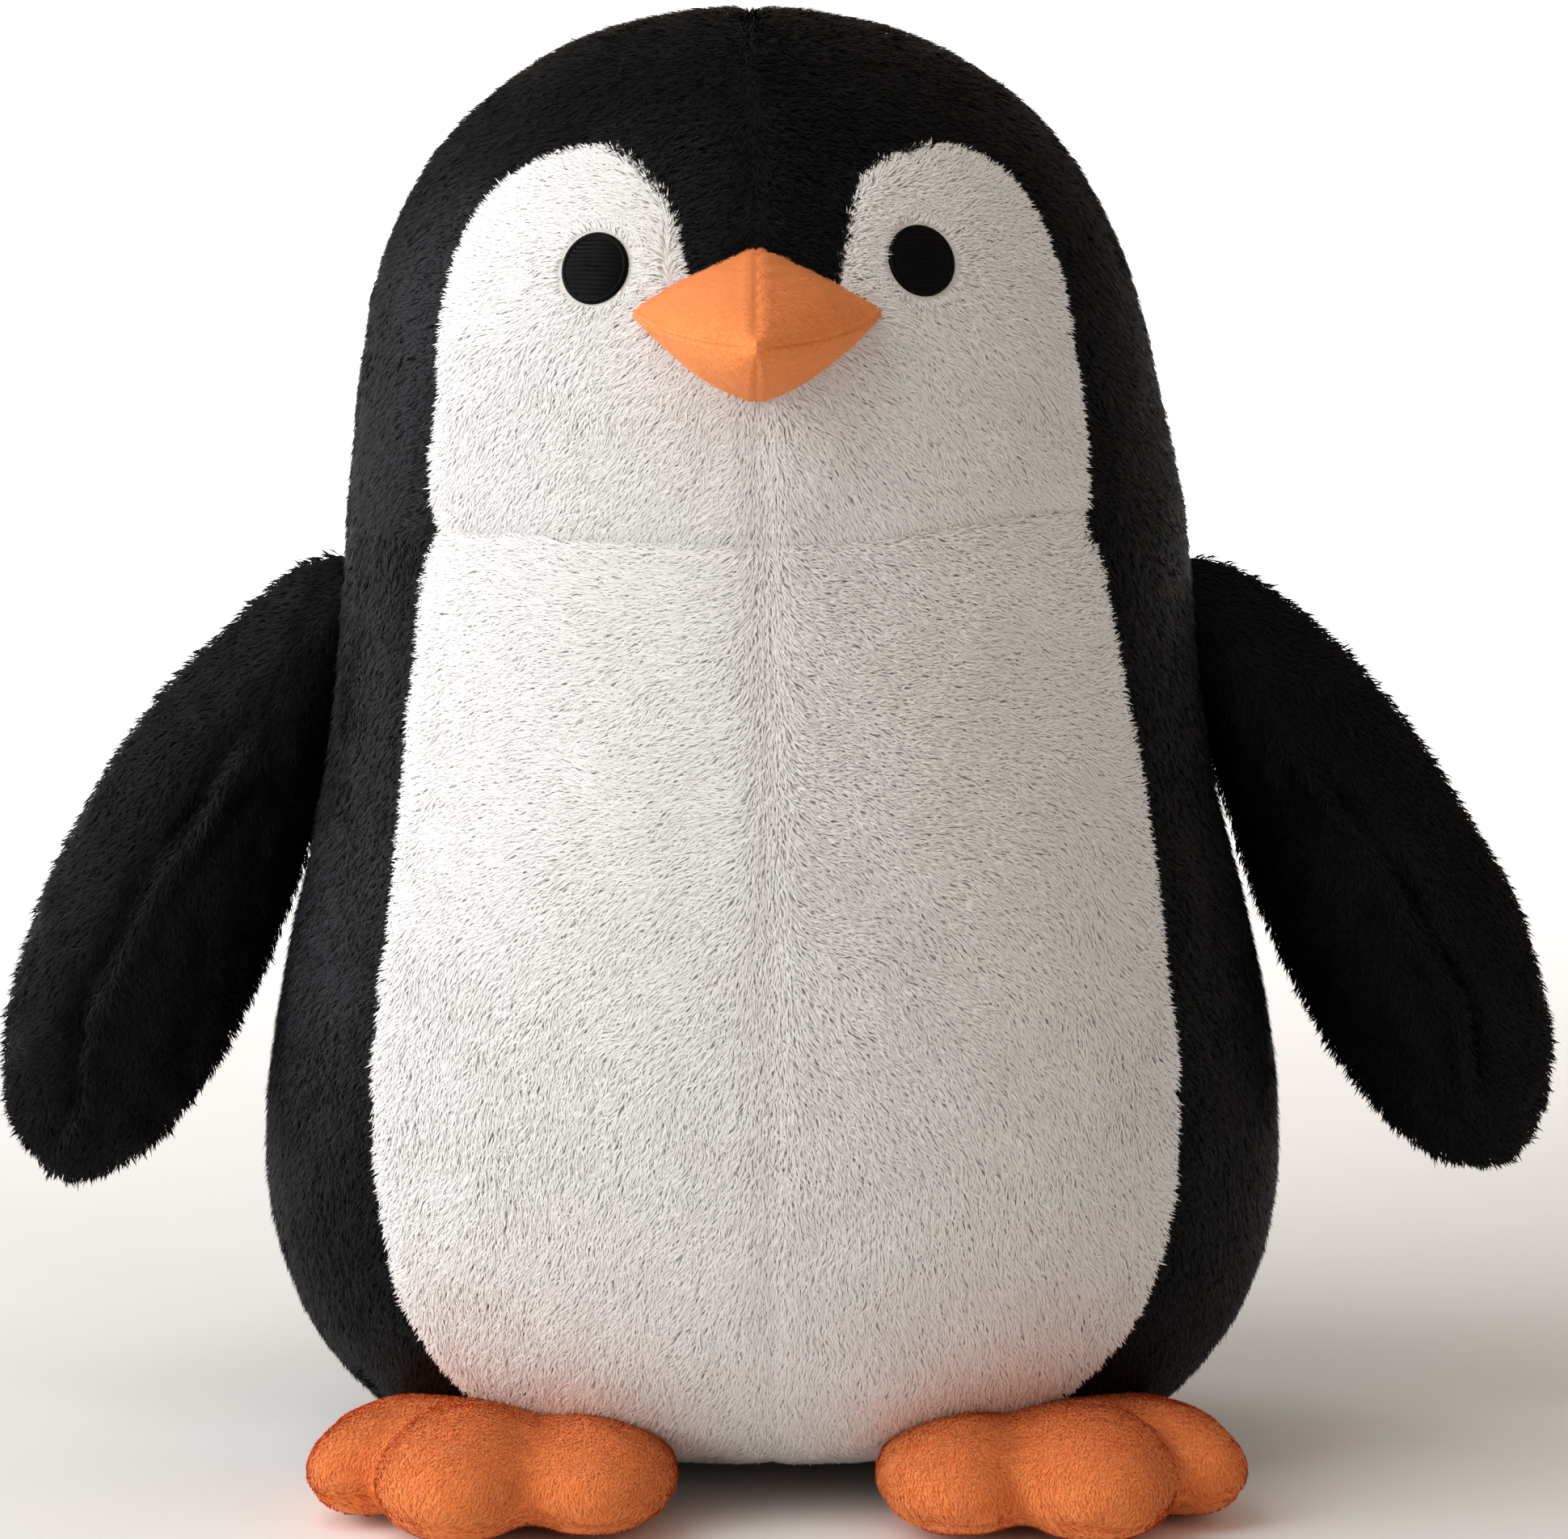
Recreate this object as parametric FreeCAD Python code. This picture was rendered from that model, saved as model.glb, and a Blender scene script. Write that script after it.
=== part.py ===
import FreeCAD, Part
import math
import os

from FreeCAD import Vector as V

os.makedirs("parts", exist_ok=True)

# ---------------------------------------------------------------------------
# Plush penguin, millimetres. +Z up, the penguin faces -Y, its own left is +X.
# Origin: middle of the flat base face, on the surface it stands on.
# ---------------------------------------------------------------------------

# Driving dimensions (finished toy)
HEIGHT = 200.0            # crown of the head above the table
BLOCK_HEIGHT = 232.0      # height of the pattern block that the tables below are drawn for
K = HEIGHT / BLOCK_HEIGHT

SKIN = 2.6                # backing cloth plus pile of the black and white plush
FILL_GAP = 0.15           # air between the skin and what fills it
VELOUR = 1.4              # thinner orange velour of the beak and feet
WING_SKIN = 2.2           # black plush of the wings
BASE_SKIN = 2.6           # base panel

EYE_X, EYE_Z, EYE_R = 26.2, 197.6, 5.35      # block units
EYE_RECESS = 0.9          # embroidery lies this far below the pile tips
EYE_THICK = 1.1

BEAK_W = 19.6             # half width near the face, block units
BEAK_UP, BEAK_DOWN = 11.7, 14.0
BEAK_Z, BEAK_ROOT_Y, BEAK_TIP_Y = 189.4, -44.0, -78.5

NECK_Z, NECK_SLOPE = 148.5, -0.12            # neck seam plane, z = NECK_Z + NECK_SLOPE * y

WING_Y = 15.0             # wing lies this far behind the middle of the trunk
WING_ROOT = (70.0, 130.0)
WING_DIR = (0.4399, -0.8980)                 # down and outwards, in the XZ plane
WING_PIVOT = (68.0, 134.0)                   # block units, at y = WING_Y
WING_SEAM_DIR = (8.5, -52.0)                 # the sewn edge runs down the flank
SEAM_ROLL_R, SEAM_ROLL_LENGTH = 0.85, 17.0   # rolled seam allowance
SEAM_GAP = 0.3

FOOT_TURN = 14.0          # toes turned out, degrees
FOOT_SEAM_Z = 4.6         # top panel meets the sole here, finished mm

BAG_R, BAG_H, BAG_Z, BAG_CLOTH = 33.0, 22.0, 4.4, 0.9   # pellet bag, low in the body

CLEAR = 0.5               # air between limbs and trunk

# Trunk: height, half width, depth to the front, depth to the back (block units)
TRUNK = [
    (0.0, 50.0, 41.0, 37.0),
    (2.5, 54.5, 44.6, 40.2),
    (6.0, 59.2, 48.2, 43.8),
    (10.5, 63.8, 51.8, 47.2),
    (15.7, 68.5, 56.0, 50.8),
    (26.0, 75.0, 63.0, 56.4),
    (36.3, 78.4, 67.2, 60.0),
    (46.6, 79.8, 69.2, 62.0),
    (56.8, 79.9, 69.6, 62.6),
    (67.1, 78.9, 69.0, 62.6),
    (77.4, 77.4, 68.0, 62.0),
    (87.1, 75.4, 66.4, 61.0),
    (97.4, 73.0, 64.6, 59.8),
    (110.2, 70.4, 62.0, 58.4),
    (127.0, 68.2, 58.6, 57.0),
    (143.6, 67.2, 56.4, 56.0),
    (149.4, 67.0, 56.0, 55.8),
    (159.7, 65.6, 55.8, 55.2),
    (170.0, 63.9, 55.2, 54.4),
    (180.3, 62.0, 53.8, 53.0),
    (190.6, 59.4, 51.4, 50.8),
    (200.9, 55.2, 47.6, 47.2),
    (206.0, 52.4, 45.2, 44.9),
    (211.2, 48.6, 42.0, 42.0),
    (216.3, 43.9, 38.0, 38.0),
    (221.4, 37.5, 32.6, 32.6),
    (226.6, 28.2, 24.6, 24.6),
    (230.2, 16.6, 14.6, 14.6),
    (231.7, 8.6, 7.6, 7.6),
]
TRUNK_SECTIONS = [0, 3.2, 7.5, 13, 21, 31, 43, 57, 73, 91, 110, 130, 148, 165,
                  180, 193, 203, 211, 217.5, 222.7, 226.8, 229.6, 231.4]

# White face, toy's left half: (x, z) from the neck seam up the outer edge,
# over the lobe and down to the beak (block units)
FACE = [(51.6, 154.6), (52.6, 163.0), (51.6, 174.0), (50.6, 183.5), (49.2, 194.0),
        (47.2, 200.2), (43.6, 205.6), (38.0, 210.8), (32.0, 213.8), (26.0, 214.6),
        (21.0, 213.4), (17.2, 210.6), (14.6, 207.4), (13.4, 203.0), (12.8, 198.0),
        (12.2, 192.6)]
# White belly, toy's left half: (x, z) from the neck seam down to the base
BELLY = [(53.0, 153.0), (54.6, 142.0), (56.8, 127.0), (58.8, 112.0), (61.2, 94.0),
         (63.6, 72.0), (63.8, 57.0), (61.6, 43.0), (57.0, 27.6), (50.0, 15.4),
         (38.0, 8.6), (22.0, 5.0)]

# Wing: distance from the root, outer edge, inner edge, half thickness (block units)
WING = [(0.6, 10.2, 1.6, 2.6), (5.0, 12.6, -1.6, 3.8), (12.8, 16.4, -5.4, 5.4),
        (22.8, 20.2, -8.6, 6.8), (39.3, 23.4, -11.8, 7.9), (55.4, 24.4, -12.6, 8.0),
        (67.5, 23.3, -12.2, 7.5), (77.4, 21.0, -11.0, 6.6), (86.4, 17.0, -8.9, 5.3),
        (92.0, 13.0, -6.0, 3.9), (95.6, 8.6, -2.6, 2.6), (97.2, 5.2, 0.8, 1.3)]

# Foot outline seen from above, toy's left foot, in the foot's own frame:
# x outwards, y backwards, origin at the middle of the heel (block units)
FOOT = [(-24.0, -2.0), (-28.6, -10.0), (-29.6, -20.0), (-28.6, -29.0), (-23.5, -35.6),
        (-15.6, -38.4), (-7.6, -37.0), (-2.6, -33.8), (1.6, -36.6), (8.6, -39.0),
        (15.6, -36.6), (19.4, -31.2), (20.8, -27.6), (25.0, -26.8), (29.4, -22.6),
        (31.0, -15.6), (28.8, -8.0), (23.0, -1.6), (12.0, 1.6), (0.0, 2.4), (-12.0, 1.4)]
FOOT_PLACE = (41.5, -37.0)                   # block units
# Foot: height in finished mm, how far the outline draws in there in finished mm
FOOT_LEVELS = [(0.0, 3.4), (0.9, 1.4), (2.6, 0.4), (4.6, 0.0), (7.4, 0.3), (10.2, 1.6),
               (12.6, 4.0), (14.4, 7.4), (15.4, 11.0)]
FOOT_HINGE = (41.5, -36.0, 7.4)              # block x and y, finished z


# ---------------------------------------------------------------------------
# Helpers
# ---------------------------------------------------------------------------
def cubic(table, column):
    """Monotone cubic through a table's first column and one other."""
    xs = [r[0] for r in table]
    ys = [r[column] for r in table]
    d = [(ys[i + 1] - ys[i]) / (xs[i + 1] - xs[i]) for i in range(len(xs) - 1)]
    m = [d[0]]
    for i in range(1, len(d)):
        m.append(0.0 if d[i - 1] * d[i] <= 0 else 2 * d[i - 1] * d[i] / (d[i - 1] + d[i]))
    m.append(d[-1])

    def f(x):
        x = min(max(x, xs[0]), xs[-1])
        i = max(j for j in range(len(xs) - 1) if xs[j] <= x)
        h = xs[i + 1] - xs[i]
        t = (x - xs[i]) / h
        return ((2 * t ** 3 - 3 * t * t + 1) * ys[i] + (t ** 3 - 2 * t * t + t) * h * m[i]
                + (3 * t * t - 2 * t ** 3) * ys[i + 1] + (t ** 3 - t * t) * h * m[i + 1])
    return f


def inset(table, column, depth):
    """The same profile moved inwards along its own normal, as a function of height.
    A negative depth moves it outwards."""
    f = cubic(table, column)
    lo, hi = table[0][0], table[-1][0]
    pts = []
    n = 400
    for i in range(n + 1):
        z = lo + (hi - lo) * i / n
        e = 0.05
        s = (f(min(z + e, hi)) - f(max(z - e, lo))) / (min(z + e, hi) - max(z - e, lo))
        q = math.sqrt(1 + s * s)
        pts.append((z + depth * s / q, f(z) - depth / q))
    pts.append((hi - depth, 0.0) if depth > 0 else (hi - depth, 0.4 * pts[-1][1]))
    keep = [pts[0]]
    for p in pts[1:]:
        if p[0] > keep[-1][0] + 1e-6:
            keep.append(p)

    def g(z):
        if z <= keep[0][0]:
            return keep[0][1]
        for a, b in zip(keep, keep[1:]):
            if z <= b[0]:
                t = (z - a[0]) / (b[0] - a[0])
                return a[1] + t * (b[1] - a[1])
        return keep[-1][1]
    return g


def closed_curve(pts):
    c = Part.BSplineCurve()
    c.interpolate(Points=pts, PeriodicFlag=True)
    return Part.Wire([c.toShape()])


def open_curve(pts):
    c = Part.BSplineCurve()
    c.interpolate(Points=pts)
    return c.toShape()


def trunk_solid(depth, z_low, z_high):
    """Trunk loft with its surface moved inwards by depth (finished mm)."""
    a, bf, bb = (inset(TRUNK, c, depth / K) for c in (1, 2, 3))
    levels = [z for z in TRUNK_SECTIONS if z_low / K + 1.2 < z < z_high / K - 0.8]
    levels = [z_low / K] + levels + [z_high / K]
    wires = []
    for z in levels:
        pts = []
        for i in range(32):
            t = 2 * math.pi * i / 32
            y = math.sin(t)
            pts.append(V(a(z) * math.cos(t) * K, (bf(z) if y < 0 else bb(z)) * y * K, z * K))
        wires.append(closed_curve(pts))
    return Part.makeLoft(wires, True, False)


def big_box(x0, x1, y0, y1, z0, z1):
    return Part.makeBox(x1 - x0, y1 - y0, z1 - z0, V(x0, y0, z0))


def mirror(shape):
    return shape.mirror(V(0, 0, 0), V(1, 0, 0))


def solid_of(shape, name):
    """The one solid in a boolean result, or its largest pieces as a compound."""
    solids = sorted(shape.Solids, key=lambda s: -s.Volume)
    if not solids:
        raise ValueError(name + " is empty")
    keep = [s for s in solids if s.Volume > 0.002 * solids[0].Volume]
    return keep[0] if len(keep) == 1 else Part.makeCompound(keep)


made = {}


def put(name, shape):
    shape = solid_of(shape, name)
    made[name] = shape


def put_pair(name, shape):
    """Toy's left is as drawn; its right is the mirror image."""
    shape = solid_of(shape, name)
    made[name + "_left"] = shape
    made[name + "_right"] = mirror(shape)


# ---------------------------------------------------------------------------
# Trunk skin: four black, four white panels and a base, around the filling
# ---------------------------------------------------------------------------
TOP = 231.4 * K
outer = trunk_solid(0.0, 0.0, TOP)
inner = trunk_solid(SKIN, BASE_SKIN, TOP - SKIN)
fill = trunk_solid(SKIN + FILL_GAP, BASE_SKIN + FILL_GAP, TOP - SKIN - FILL_GAP)
left_half = big_box(0, 200, -200, 200, -5, 260)

# neck seam plane
tilt = math.degrees(math.atan(NECK_SLOPE))
above_neck = big_box(-200, 200, -200, 200, 0, 200)
above_neck.rotate(V(0, 0, 0), V(1, 0, 0), tilt)
above_neck.translate(V(0, 0, NECK_Z * K))
below_neck = big_box(-200, 200, -200, 200, -200, 0)
below_neck.rotate(V(0, 0, 0), V(1, 0, 0), tilt)
below_neck.translate(V(0, 0, NECK_Z * K))

base_disc = outer.common(big_box(-200, 200, -200, 200, -1, BASE_SKIN))
put("base_panel", base_disc)

shell = outer.cut(inner).common(left_half).common(big_box(-200, 200, -200, 200, BASE_SKIN, 260))
head_shell = shell.common(above_neck)
body_shell = shell.common(below_neck)


def front_prism(points, corner_low, corner_high):
    """Solid through the front of the toy inside an outline; corners lie on the middle plane."""
    pts = [V(x * K, -4.0, z * K) for x, z in points]
    curve = open_curve(pts)
    a, b = pts[0], pts[-1]
    c0 = V(0, -4.0, corner_low * K)
    c1 = V(0, -4.0, corner_high * K)
    edges = [Part.makeLine(c0, a), curve, Part.makeLine(b, c1), Part.makeLine(c1, c0)]
    face = Part.Face(Part.Wire(Part.__sortEdges__(edges)))
    return face.extrude(V(0, -120.0, 0))


face_prism = front_prism([(FACE[0][0] - 0.2, 140.0)] + FACE, 140.0, 187.0)
belly_prism = front_prism([(52.0, 170.0)] + BELLY, 170.0, 3.4)

face_panel = head_shell.common(face_prism)
head_side = head_shell.cut(face_prism)
belly_panel = body_shell.common(belly_prism)
back_panel = body_shell.cut(belly_prism)

# embroidered eyes fill a round field in each face panel
fa, fb = cubic(TRUNK, 1), cubic(TRUNK, 2)


def on_front(x, z):
    """Point and outward normal of the trunk's front at a block x and z."""
    def y_of(xx, zz):
        return -fb(zz) * math.sqrt(max(0.0, 1 - (xx / fa(zz)) ** 2))
    y = y_of(x, z)
    e = 0.2
    gx = (y_of(x + e, z) - y_of(x - e, z)) / (2 * e)
    gz = (y_of(x, z + e) - y_of(x, z - e)) / (2 * e)
    n = V(gx, -1.0, gz)
    n.normalize()
    return V(x * K, y * K, z * K), n


spot, normal = on_front(EYE_X, EYE_Z)
eye_r = EYE_R * K
hole = Part.makeCylinder(eye_r, 12.0, spot - normal * 8.0, normal)
face_panel = face_panel.cut(hole)
eye_low = spot - normal * (EYE_RECESS + EYE_THICK)
eye = Part.makeCylinder(eye_r, EYE_THICK, eye_low, normal)
top_edges = [e for e in eye.Edges if isinstance(e.Curve, Part.Circle)
             and (e.Curve.Center - (eye_low + normal * EYE_THICK)).Length < 0.01]
eye = eye.makeFillet(0.45, top_edges)
put_pair("face_panel", face_panel)
put_pair("eye_embroidery", eye)
put_pair("head_side_panel", head_side)
put_pair("belly_panel", belly_panel)
put_pair("back_panel", back_panel)

# ---------------------------------------------------------------------------
# Filling: fibre in the head and body, a pellet bag low in the body
# ---------------------------------------------------------------------------
put("head_stuffing", fill.common(above_neck))


def pouch(shrink):
    """Round flat pellet bag, drawn in by shrink on all sides (finished mm)."""
    r, h = BAG_R - shrink, BAG_H - 2 * shrink
    drum = Part.makeCylinder(r, h, V(0, -1.5, BAG_Z + shrink))
    rims = [e for e in drum.Edges if isinstance(e.Curve, Part.Circle)]
    return drum.makeFillet(min(8.0, h / 2 - 1.0), rims)


put("body_stuffing", fill.common(below_neck).cut(pouch(-0.3)))
put("pellet_bag", pouch(0.0).cut(pouch(BAG_CLOTH)))
put("pellets", pouch(BAG_CLOTH + 0.2))

# ---------------------------------------------------------------------------
# Beak: four velour panels sewn along the corners' seams, stuffed
# ---------------------------------------------------------------------------
def beak_loft(shrink):
    wires = []
    length = (BEAK_ROOT_Y - BEAK_TIP_Y) * K
    for s in (0.0, 0.22, 0.42, 0.6, 0.74, 0.85, 0.93, 0.985):
        f = (1 - s ** 1.6) ** 0.8
        y = BEAK_ROOT_Y * K - s * (length - shrink)
        pts = []
        for i in range(24):
            t = 2 * math.pi * i / 24
            c, q = math.cos(t), math.sin(t)
            p = 1.3 + 0.7 * s          # lozenge at the face, round at the tip
            r = (abs(c) ** p + abs(q) ** p) ** (-1 / p)
            up = BEAK_UP if q > 0 else BEAK_DOWN
            pts.append(V(r * c * max(BEAK_W * K * f - shrink, 0.3), y,
                         BEAK_Z * K + r * q * max(up * K * f - shrink, 0.3)))
        wires.append(closed_curve(pts))
    return Part.makeLoft(wires, True, False)


beak_outer = beak_loft(0.0).cut(outer)
beak_inner = beak_loft(VELOUR)
beak_shell = beak_outer.cut(beak_inner).common(left_half)
above_beak = big_box(-60, 60, -120, 0, BEAK_Z * K, 260)
below_beak = big_box(-60, 60, -120, 0, 0, BEAK_Z * K)
put_pair("beak_upper_panel", beak_shell.common(above_beak))
put_pair("beak_lower_panel", beak_shell.common(below_beak))
put("beak_stuffing", beak_loft(VELOUR + FILL_GAP).cut(outer))

# ---------------------------------------------------------------------------
# Wings: front and back panel around a filling, sewn by one edge to the flank
# ---------------------------------------------------------------------------
def wing_loft(shrink):
    ux, uz = WING_DIR
    nx, nz = -uz, ux                # outwards and up
    wires = []
    rows = WING
    s0, s1 = rows[0][0] + shrink / K, rows[-1][0] - shrink / K
    fo, fi, ft = (cubic(rows, c) for c in (1, 2, 3))
    levels = [s0] + [r[0] for r in rows[1:-1] if s0 + 1.5 < r[0] < s1 - 0.9] + [s1]
    for s in levels:
        o, i = fo(s) * K, fi(s) * K
        c, h, t = (o + i) / 2, (o - i) / 2 - shrink, ft(s) * K - shrink
        h, t = max(h, 0.5), max(t, 0.4)
        pts = []
        for k in range(20):
            a = 2 * math.pi * k / 20
            w = c + h * math.cos(a)
            pts.append(V(WING_ROOT[0] * K + s * K * ux + w * nx,
                         WING_Y * K + t * math.sin(a),
                         WING_ROOT[1] * K + s * K * uz + w * nz))
        wires.append(closed_curve(pts))
    return Part.makeLoft(wires, True, False)


# the wing turns about the rolled seam, which lies in a round channel along its inner edge
q = math.hypot(*WING_SEAM_DIR)
seam_dir = V(WING_SEAM_DIR[0] / q, 0, WING_SEAM_DIR[1] / q)
seam_top = V(WING_PIVOT[0] * K, WING_Y * K, WING_PIVOT[1] * K) + seam_dir * 0.5
channel = Part.makeCylinder(SEAM_ROLL_R + SEAM_GAP, SEAM_ROLL_LENGTH + 2.0, seam_top - seam_dir, seam_dir)
wing_outer, wing_inner = wing_loft(0.0), wing_loft(WING_SKIN)
wing_shell = wing_outer.cut(wing_inner).cut(channel)
wing_fill = wing_loft(WING_SKIN + FILL_GAP).cut(channel)
put_pair("wing_front_panel", wing_shell.common(big_box(0, 200, -200, WING_Y * K, 0, 200)))
put_pair("wing_back_panel", wing_shell.common(big_box(0, 200, WING_Y * K, 200, 0, 200)))
put_pair("wing_stuffing", wing_fill)

# rolled seam allowance at the wing's sewn edge
seam = Part.makeCylinder(SEAM_ROLL_R, SEAM_ROLL_LENGTH, seam_top, seam_dir)
seam = seam.makeFillet(0.4, [e for e in seam.Edges if isinstance(e.Curve, Part.Circle)])
put_pair("wing_seam_allowance", seam)

# ---------------------------------------------------------------------------
# Feet: velour top panel and sole around a filling, sewn on by the heel
# ---------------------------------------------------------------------------
def foot_loft(shrink):
    base = [V(x * K, y * K, 0) for x, y in FOOT]
    n = len(base)
    centre = V(1.0 * K, -18.0 * K, 0)
    wires = []
    z_top, z_low = FOOT_LEVELS[-1][0] - shrink, shrink
    fz = cubic(FOOT_LEVELS, 1)
    levels = [z_low] + [z for z, _ in FOOT_LEVELS if z_low + 0.5 < z < z_top - 0.5] + [z_top]
    for z in levels:
        # the same dome, shrunk: the height on the outer dome that this level stands for
        zz = (z - z_low) / (z_top - z_low) * FOOT_LEVELS[-1][0]
        draw = fz(zz) + shrink
        pts = []
        for i, p in enumerate(base):
            d = p - centre
            r = d.Length
            f = max(0.25, (r - draw) / r)
            g = centre + d * f
            pts.append(V(g.x, g.y, z))
        wires.append(closed_curve(pts))
    body = Part.makeLoft(wires, True, False)
    body.rotate(V(0, 0, 0), V(0, 0, 1), FOOT_TURN)
    body.translate(V(FOOT_PLACE[0] * K, FOOT_PLACE[1] * K, 0))
    return body


turn = math.radians(FOOT_TURN)
foot_axis = V(math.cos(turn), math.sin(turn), 0)
foot_pivot = V(FOOT_HINGE[0] * K, FOOT_HINGE[1] * K, FOOT_HINGE[2])

# room for the belly as the foot tips up and droops
belly_room = trunk_solid(-CLEAR, -1.0, 40.0)
foot_outer, foot_inner, foot_fill = foot_loft(0.0), foot_loft(VELOUR), foot_loft(VELOUR + FILL_GAP)
cutters = []
for angle in (-12, -6, 0, 7, 14, 21):
    c = belly_room.copy()
    c.rotate(foot_pivot, foot_axis, angle)
    cutters.append(c)
for c in cutters:
    foot_outer = foot_outer.cut(c)
    foot_inner = foot_inner.cut(c)
    foot_fill = foot_fill.cut(c)
foot_shell = foot_outer.cut(foot_inner)
put_pair("foot_top_panel", foot_shell.common(big_box(-200, 200, -200, 200, FOOT_SEAM_Z, 60)))
put_pair("foot_sole", foot_shell.common(big_box(-200, 200, -200, 200, -5, FOOT_SEAM_Z)))
put_pair("foot_stuffing", foot_fill)

# ---------------------------------------------------------------------------
for name in sorted(made):
    shape = made[name]
    shape.exportStep("parts/" + name + ".step")
    b = shape.BoundBox
    print("%-28s %9.1f mm3  solids %d valid %s  x %.1f %.1f  y %.1f %.1f  z %.1f %.1f" % (
        name, shape.Volume, len(shape.Solids), shape.isValid(),
        b.XMin, b.XMax, b.YMin, b.YMax, b.ZMin, b.ZMax))
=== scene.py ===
import bpy
import math
import numpy as np
from itertools import product
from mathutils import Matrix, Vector


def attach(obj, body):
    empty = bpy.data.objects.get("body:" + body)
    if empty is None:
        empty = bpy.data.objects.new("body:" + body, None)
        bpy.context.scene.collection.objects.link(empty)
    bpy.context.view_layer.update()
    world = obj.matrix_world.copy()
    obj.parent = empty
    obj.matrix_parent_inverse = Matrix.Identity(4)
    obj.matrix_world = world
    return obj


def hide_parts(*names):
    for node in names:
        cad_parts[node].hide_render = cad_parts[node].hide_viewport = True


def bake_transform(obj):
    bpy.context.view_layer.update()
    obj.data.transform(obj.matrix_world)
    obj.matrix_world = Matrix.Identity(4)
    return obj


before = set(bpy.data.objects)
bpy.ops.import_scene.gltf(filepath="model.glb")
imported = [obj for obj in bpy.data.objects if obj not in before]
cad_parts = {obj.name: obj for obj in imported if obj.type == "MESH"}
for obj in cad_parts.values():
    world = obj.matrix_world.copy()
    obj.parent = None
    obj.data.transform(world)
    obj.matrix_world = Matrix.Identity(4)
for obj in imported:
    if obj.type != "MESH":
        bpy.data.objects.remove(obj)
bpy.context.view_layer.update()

# ---------------------------------------------------------------------------
# Everything below is worked out in millimetres in the CAD's frame and made in metres.
# ---------------------------------------------------------------------------
MM = 0.001
K = 200.0 / 232.0          # same block scale as the CAD tables
PILE = 2.5                 # length of the plush pile
LIE = 1.20                 # how far the pile stands off the backing as it lies
CAM_TILT = math.radians(9.0)
CAM_DIST = 1200.0
CAM_AIM = np.array([2.2, -10.0, 96.3])

TRUNK = np.array([
    (0.0, 50.0, 12.0, 37.0), (2.5, 54.5, 24.0, 40.2), (6.0, 59.2, 39.5, 43.8),
    (10.5, 63.8, 50.0, 47.2), (15.7, 68.5, 56.6, 50.8), (26.0, 75.0, 63.6, 56.4),
    (36.3, 78.4, 67.2, 60.0), (46.6, 79.8, 69.2, 62.0), (56.8, 79.9, 69.6, 62.6),
    (67.1, 78.9, 69.0, 62.6), (77.4, 77.4, 68.0, 62.0), (87.1, 75.4, 66.4, 61.0),
    (97.4, 73.0, 64.6, 59.8), (110.2, 70.4, 62.0, 58.4), (127.0, 68.2, 58.6, 57.0),
    (143.6, 67.2, 56.4, 56.0), (149.4, 67.0, 56.0, 55.8), (159.7, 65.6, 55.8, 55.2),
    (170.0, 63.9, 55.2, 54.4), (180.3, 62.0, 53.8, 53.0), (190.6, 59.4, 51.4, 50.8),
    (200.9, 55.2, 47.6, 47.2), (206.0, 52.4, 45.2, 44.9), (211.2, 48.6, 42.0, 42.0),
    (216.3, 43.9, 38.0, 38.0), (221.4, 37.5, 32.6, 32.6), (226.6, 28.2, 24.6, 24.6),
    (230.2, 16.6, 14.6, 14.6), (231.7, 8.6, 7.6, 7.6), (232.1, 0.0, 0.0, 0.0)]) * K

# White outlines on the front elevation (u sideways, v up, both in the camera's picture plane, mm)
PX = 0.1095


def uv(px, py):
    return (px - 950.0) * PX, (1807.0 - py) * PX


FACE_ROWS = [  # v row, outer left, inner left, inner right, outer right
    (178, 722, 748, 1150, 1180), (188, 682, 772, 1112, 1206), (205, 644, 791, 1087, 1235),
    (225, 618, 810, 1070, 1256), (245, 598, 824, 1059, 1272), (285, 572, 833, 1050, 1293),
    (325, 556, 838, 1044, 1308), (365, 546, 846, 1036, 1318), (405, 540, 880, 1000, 1326),
    (420, 538, 939, 939, 1328), (445, 536, 940, 940, 1332), (485, 536, 940, 940, 1338),
    (525, 533, 940, 940, 1343), (565, 527, 940, 940, 1346), (605, 526, 940, 940, 1348),
    (640, 536, 940, 940, 1344), (662, 541, 940, 940, 1342)]
BELLY_ROWS = [(640, 540, 1340), (665, 538, 1343), (685, 524, 1357), (725, 516, 1366),
              (765, 513, 1373), (805, 509, 1381), (845, 504, 1389), (885, 499, 1397),
              (925, 495, 1405), (965, 492, 1412), (1005, 489, 1418), (1045, 485, 1424),
              (1085, 481, 1429), (1125, 477, 1434), (1165, 472, 1438), (1205, 466, 1443),
              (1245, 461, 1449), (1285, 457, 1454), (1325, 454, 1457), (1365, 454, 1457),
              (1405, 455, 1456), (1445, 458, 1455), (1485, 463, 1450), (1525, 469, 1443),
              (1565, 477, 1433), (1605, 489, 1418), (1645, 507, 1397), (1685, 533, 1366),
              (1725, 570, 1322), (1765, 640, 1256), (1795, 730, 1170), (1815, 830, 1070)]


def smoothstep(x):
    x = np.clip(x, 0, 1)
    return x * x * (3 - 2 * x)


def unit(v):
    return v / np.maximum(np.linalg.norm(v, axis=-1, keepdims=True), 1e-9)


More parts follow.
